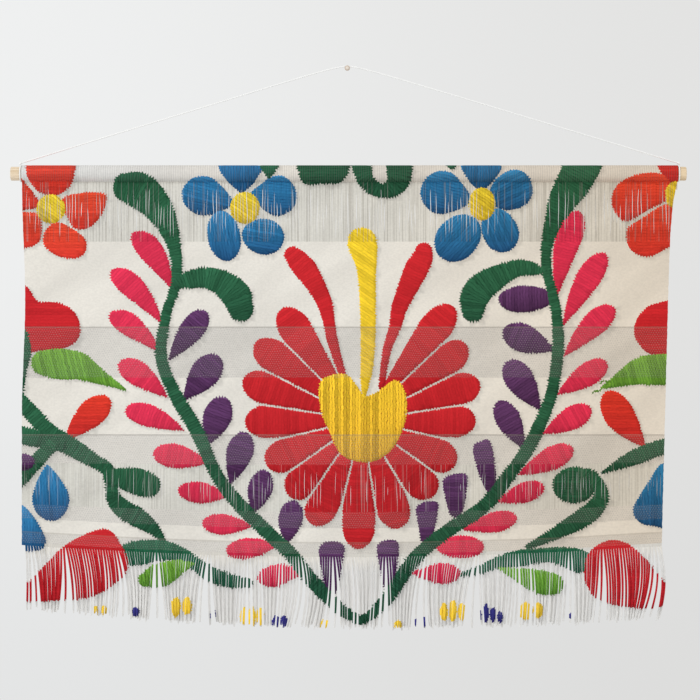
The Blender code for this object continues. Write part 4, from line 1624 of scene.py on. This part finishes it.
def dotted_weave(colour, place, depth, printed):
    """Dotted bands: a honeycomb of small gaps, with painted shade seen through them. Returns colour and gaps.
    """
    dotted = band_mask(depth, "dotted")
    x, _, z = place.parts()
    shake = place.noise((70.0, 70.0, 70.0), 1.0)
    across, down = x / DOT_PITCH + shake, z / (DOT_PITCH * HONEYCOMB) + shake
    reaches = []
    for shift in (COUNT_FROM, COUNT_FROM + 0.5):
        over = (across + shift).maths("FRACT") - 0.5
        under = ((down + shift).maths("FRACT") - 0.5) * HONEYCOMB
        reaches.append((over * over + under * under).maths("SQRT"))
    hole = reaches[0].maths("MINIMUM", reaches[1]).ranged(0.37, 0.10) * dotted
    colour = colour.times(DOTTED_WEAVE, dotted * printed.ranged(0.0, 1.0, 0.8, 0.45))
    # Painted shade in the holes: grey over the bare ground, paler over dark print, with a faint veil of it
    # over all the print
    veil = dotted * printed * 0.04
    shown = veil.maths("MAXIMUM", hole * printed.ranged(0.0, 1.0, 0.48, 0.27))
    return shown.between(colour, HOLE_SHADE), hole


def weave_looks(place):
    """Printed weave: stitches of the print, open and dotted bands, ribs and fine threads."""
    tree = place.tree
    x, _, z = place.parts()
    count, depth, _ = stored(tree, "weave").parts()
    printed = stored(tree, "streak", "Alpha").maths("GREATER_THAN", PRINTED_ABOVE)
    colour, threads = stitched_ink(tree)
    colour, groove = open_weave(colour, place, count, depth, printed)
    colour, hole = dotted_weave(colour, place, depth, printed)

    # Lines between the bands, painted shade of faint diagonal wrinkles, and a faint unevenness of the whole
    # cloth
    line = line_mask(depth)
    colour = (line * 0.29).between(colour, BAND_LINES)
    # Painted shade of faint diagonal wrinkles over the whole cloth
    broad = combined(x * 5.0, 0.0, z * 17.0 + x * -11.0).noise(1.0, 3.0)
    colour = colour.times(broad.ranged(0.32, 0.68, 0.925, 1.035))
    nap = place.noise((300.0, 300.0, 420.0), 2.0, 0.6)
    colour = colour.times(nap.ranged(0.3, 0.7, 0.955, 1.035))
    # Painted shade: the cloth darker and warmer towards the right
    colour = colour.times(x.ranged(-0.10, 0.46).between(WHITE, CLOTH_SHADE_AT_RIGHT))

    # Ribs of the pocket, which is a little cooler than the rest
    pocket = depth.ranged(-0.0005, -0.004)
    rib = waves(x, RIB_PITCH).ranged(0.2, 1.0) * pocket
    colour = (rib * 0.22).between(colour, RIB_SHADE)
    colour = colour.times(x.ranged(-0.45, -0.05).between(POCKET_AT_LEFT, POCKET_AT_RIGHT), pocket)

    # Relief: fine threads both ways, stitches, ribs, grooves, gaps and lines
    height = waves(x, WARP_PITCH) * 0.35 + waves(z, WEFT_PITCH) * 0.22 + threads * 1.6
    height = height - rib * 2.0 - groove * 3.0 - hole * 2.0 - line * 1.5
    return colour, height


def yarn_looks(place):
    """Matt cotton yarn, printed like the sheet."""
    colour, _ = stitched_ink(place.tree)
    fuzz = place.noise((900.0, 900.0, 120.0), 3.0).ranged(0.3, 0.7, 0.94, 1.06)
    return colour.times(fuzz), place.spun(260.0, 1.5)


def wood_looks(place):
    """Sanded wood, its grain along the rod, with painted shade that makes it a little darker to the right."""
    grain = place.noise((14.0, 420.0, 420.0), 4.0, 0.6)
    broad = place.noise((6.0, 90.0, 90.0)).ranged(0.3, 0.7, 0.93, 1.04)
    colour = grain.ranged(0.40, 0.66, 0.0, 0.8).between(screen((238, 220, 194)), screen((212, 188, 154)))
    # Painted shade: a little darker towards the rod's right end
    side = place.parts()[0].ranged(-0.4, 0.46).between(WHITE, ROD_SHADE_AT_RIGHT)
    return colour.times(broad).times(side), grain


def cord_looks(place):
    twist = place.spun(180.0, 0.6)
    # Painted shade: the twist's grooves darker than its ridges
    return twist.between(CORD_GROOVE_SHADE, CORD_LIGHT), twist


def enamel_looks(place):
    """Pale enamel, with a painted highlight at the middle of the head and painted shade towards its rim."""
    x, _, z = place.parts()
    # Painted highlight at the middle of the head, fading to painted shade at its rim
    reach = (x * x + z * z).maths("SQRT").ranged(0.0014, 0.0026)
    colour = reach.between(screen((226, 216, 204)), screen((206, 190, 175)))
    return colour.times(place.noise(1800.0, 3.0).ranged(0.3, 0.7, 0.96, 1.02)), None


def floor_looks(place):
    return place.noise(3.0).ranged(0.3, 0.7, 0.78, 0.80), None


# Camera, light and floor

CAMERA_AWAY = 3.2
SENSOR = 36.0
VIEW_CENTRE = (0.0037, ROD_Y, -0.3874)
FLOOR_Z = -1.45
FLOOR_REACH = 3.0

# The backdrop's screen colours at the left and the right, how much darker its foot is at either, and
# the directions, across and up, that these changes run between
BACKDROP_LEFT = (239, 240, 240)
BACKDROP_RIGHT = (227, 227, 226)
FOOT_DARKER = (0.105, 0.062)
BACKDROP_ACROSS = (-0.16, 0.16)
BACKDROP_UP = (-0.17, 0.08)

# Soft lights, with the side of their square and their power in watts
Light = namedtuple("Light", "name place side power")
LIGHTS = (
    Light("key", (-1.5, -2.2, 1.1), 1.6, 24.0),
    Light("fill", (1.8, -2.4, 0.1), 2.0, 8.0),
)


def add_camera():
    data = bpy.data.cameras.new("camera")
    data.sensor_width = SENSOR
    data.lens = SENSOR * (CAMERA_AWAY + ROD_Y) / (PHOTO_SIDE * PIXEL)
    data.dof.use_dof = False
    camera = add_object("camera", data)
    camera.location = (VIEW_CENTRE[0], -CAMERA_AWAY, VIEW_CENTRE[2])
    camera.rotation_euler = (math.radians(90), 0.0, 0.0)
    bpy.context.scene.camera = camera


def add_light(light):
    """A square light that is turned towards the middle of the object."""
    data = bpy.data.lights.new(light.name, "AREA")
    data.size = light.side
    data.energy = light.power
    made = add_object(light.name, data)
    made.location = light.place
    x, y, z = (b - a for a, b in zip(light.place, (0.0, *VIEW_CENTRE[1:])))
    made.rotation_euler = (math.atan2(math.hypot(x, y), -z), 0.0, math.atan2(-x, y))


def add_backdrop():
    """A pale world that darkens a little to the right and towards its foot."""
    world = bpy.data.worlds.new("studio")
    world.use_nodes = True
    tree = world.node_tree
    x, _, z = add_node(tree, "TexCoord", {}, "Generated").parts()
    pale = x.ranged(*BACKDROP_ACROSS).between(screen(BACKDROP_LEFT), screen(BACKDROP_RIGHT))
    fall = x.ranged(*BACKDROP_ACROSS, *FOOT_DARKER) * z.ranged(*BACKDROP_UP, 1.0, 0.0)
    tree.links.new(pale.times(1.0 - fall).socket, tree.nodes["Background"].inputs["Color"])
    bpy.context.scene.world = world


def add_floor():
    corners = ((-1, -1), (1, -1), (1, 1), (-1, 1))
    verts = [(FLOOR_REACH * x, FLOOR_REACH * y, FLOOR_Z) for x, y in corners]
    mesh = bpy.data.meshes.new("floor")
    mesh.from_pydata(verts, [], [(0, 1, 2, 3)])
    mesh.materials.append(new_material("floor", floor_looks, roughness=0.85, specular=0.2))
    floor = add_object("floor", mesh)


def main():
    add_camera()
    cord_finish = new_material("twisted_cord", cord_looks, roughness=0.8, specular=0.2, bump=0.25)
    cord, line = build_cord(cord_finish)
    loop_left = build_loop("cord_turn_left", LOOP_LEFT, cord_finish)
    loop_right = build_loop("cord_turn_right", LOOP_RIGHT, cord_finish)
    knot_left = build_knot("knot_left", CORD_ROUTE[0], 1.0, cord_finish)
    knot_right = build_knot("knot_right", CORD_ROUTE[-1], -1.0, cord_finish)
    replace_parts(cord, "hanging_cord")
    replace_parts(loop_left, "cord_loop_left")
    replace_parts(loop_right, "cord_loop_right")
    for piece in (cord, loop_left, loop_right, knot_left, knot_right):
        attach(piece, "root")
    shapes = charted_shapes()
    weave = new_material("printed_weave", weave_looks, roughness=0.95, specular=0.05, bump=0.5)
    yarn = new_material("fringe_yarn", yarn_looks, roughness=0.95, specular=0.05, bump=0.4)
    cloth = build_cloth(shapes, weave)
    fringe = build_fringe(shapes, yarn)
    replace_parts(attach(cloth, "root"), "cloth")
    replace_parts(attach(fringe, "root"), "fringe")
    pin = build_pin(new_material("pin_enamel", enamel_looks, roughness=0.42, specular=0.4))
    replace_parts(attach(pin, "root"), "pin")
    wood = new_material("sanded_wood", wood_looks, roughness=0.6, specular=0.3, bump=0.25)
    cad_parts["rod"].data.materials.clear()
    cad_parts["rod"].data.materials.append(wood)
    bpy.context.scene.view_settings.view_transform = "Standard"
    add_backdrop()
    for light in LIGHTS:
        add_light(light)
    add_floor()


main()
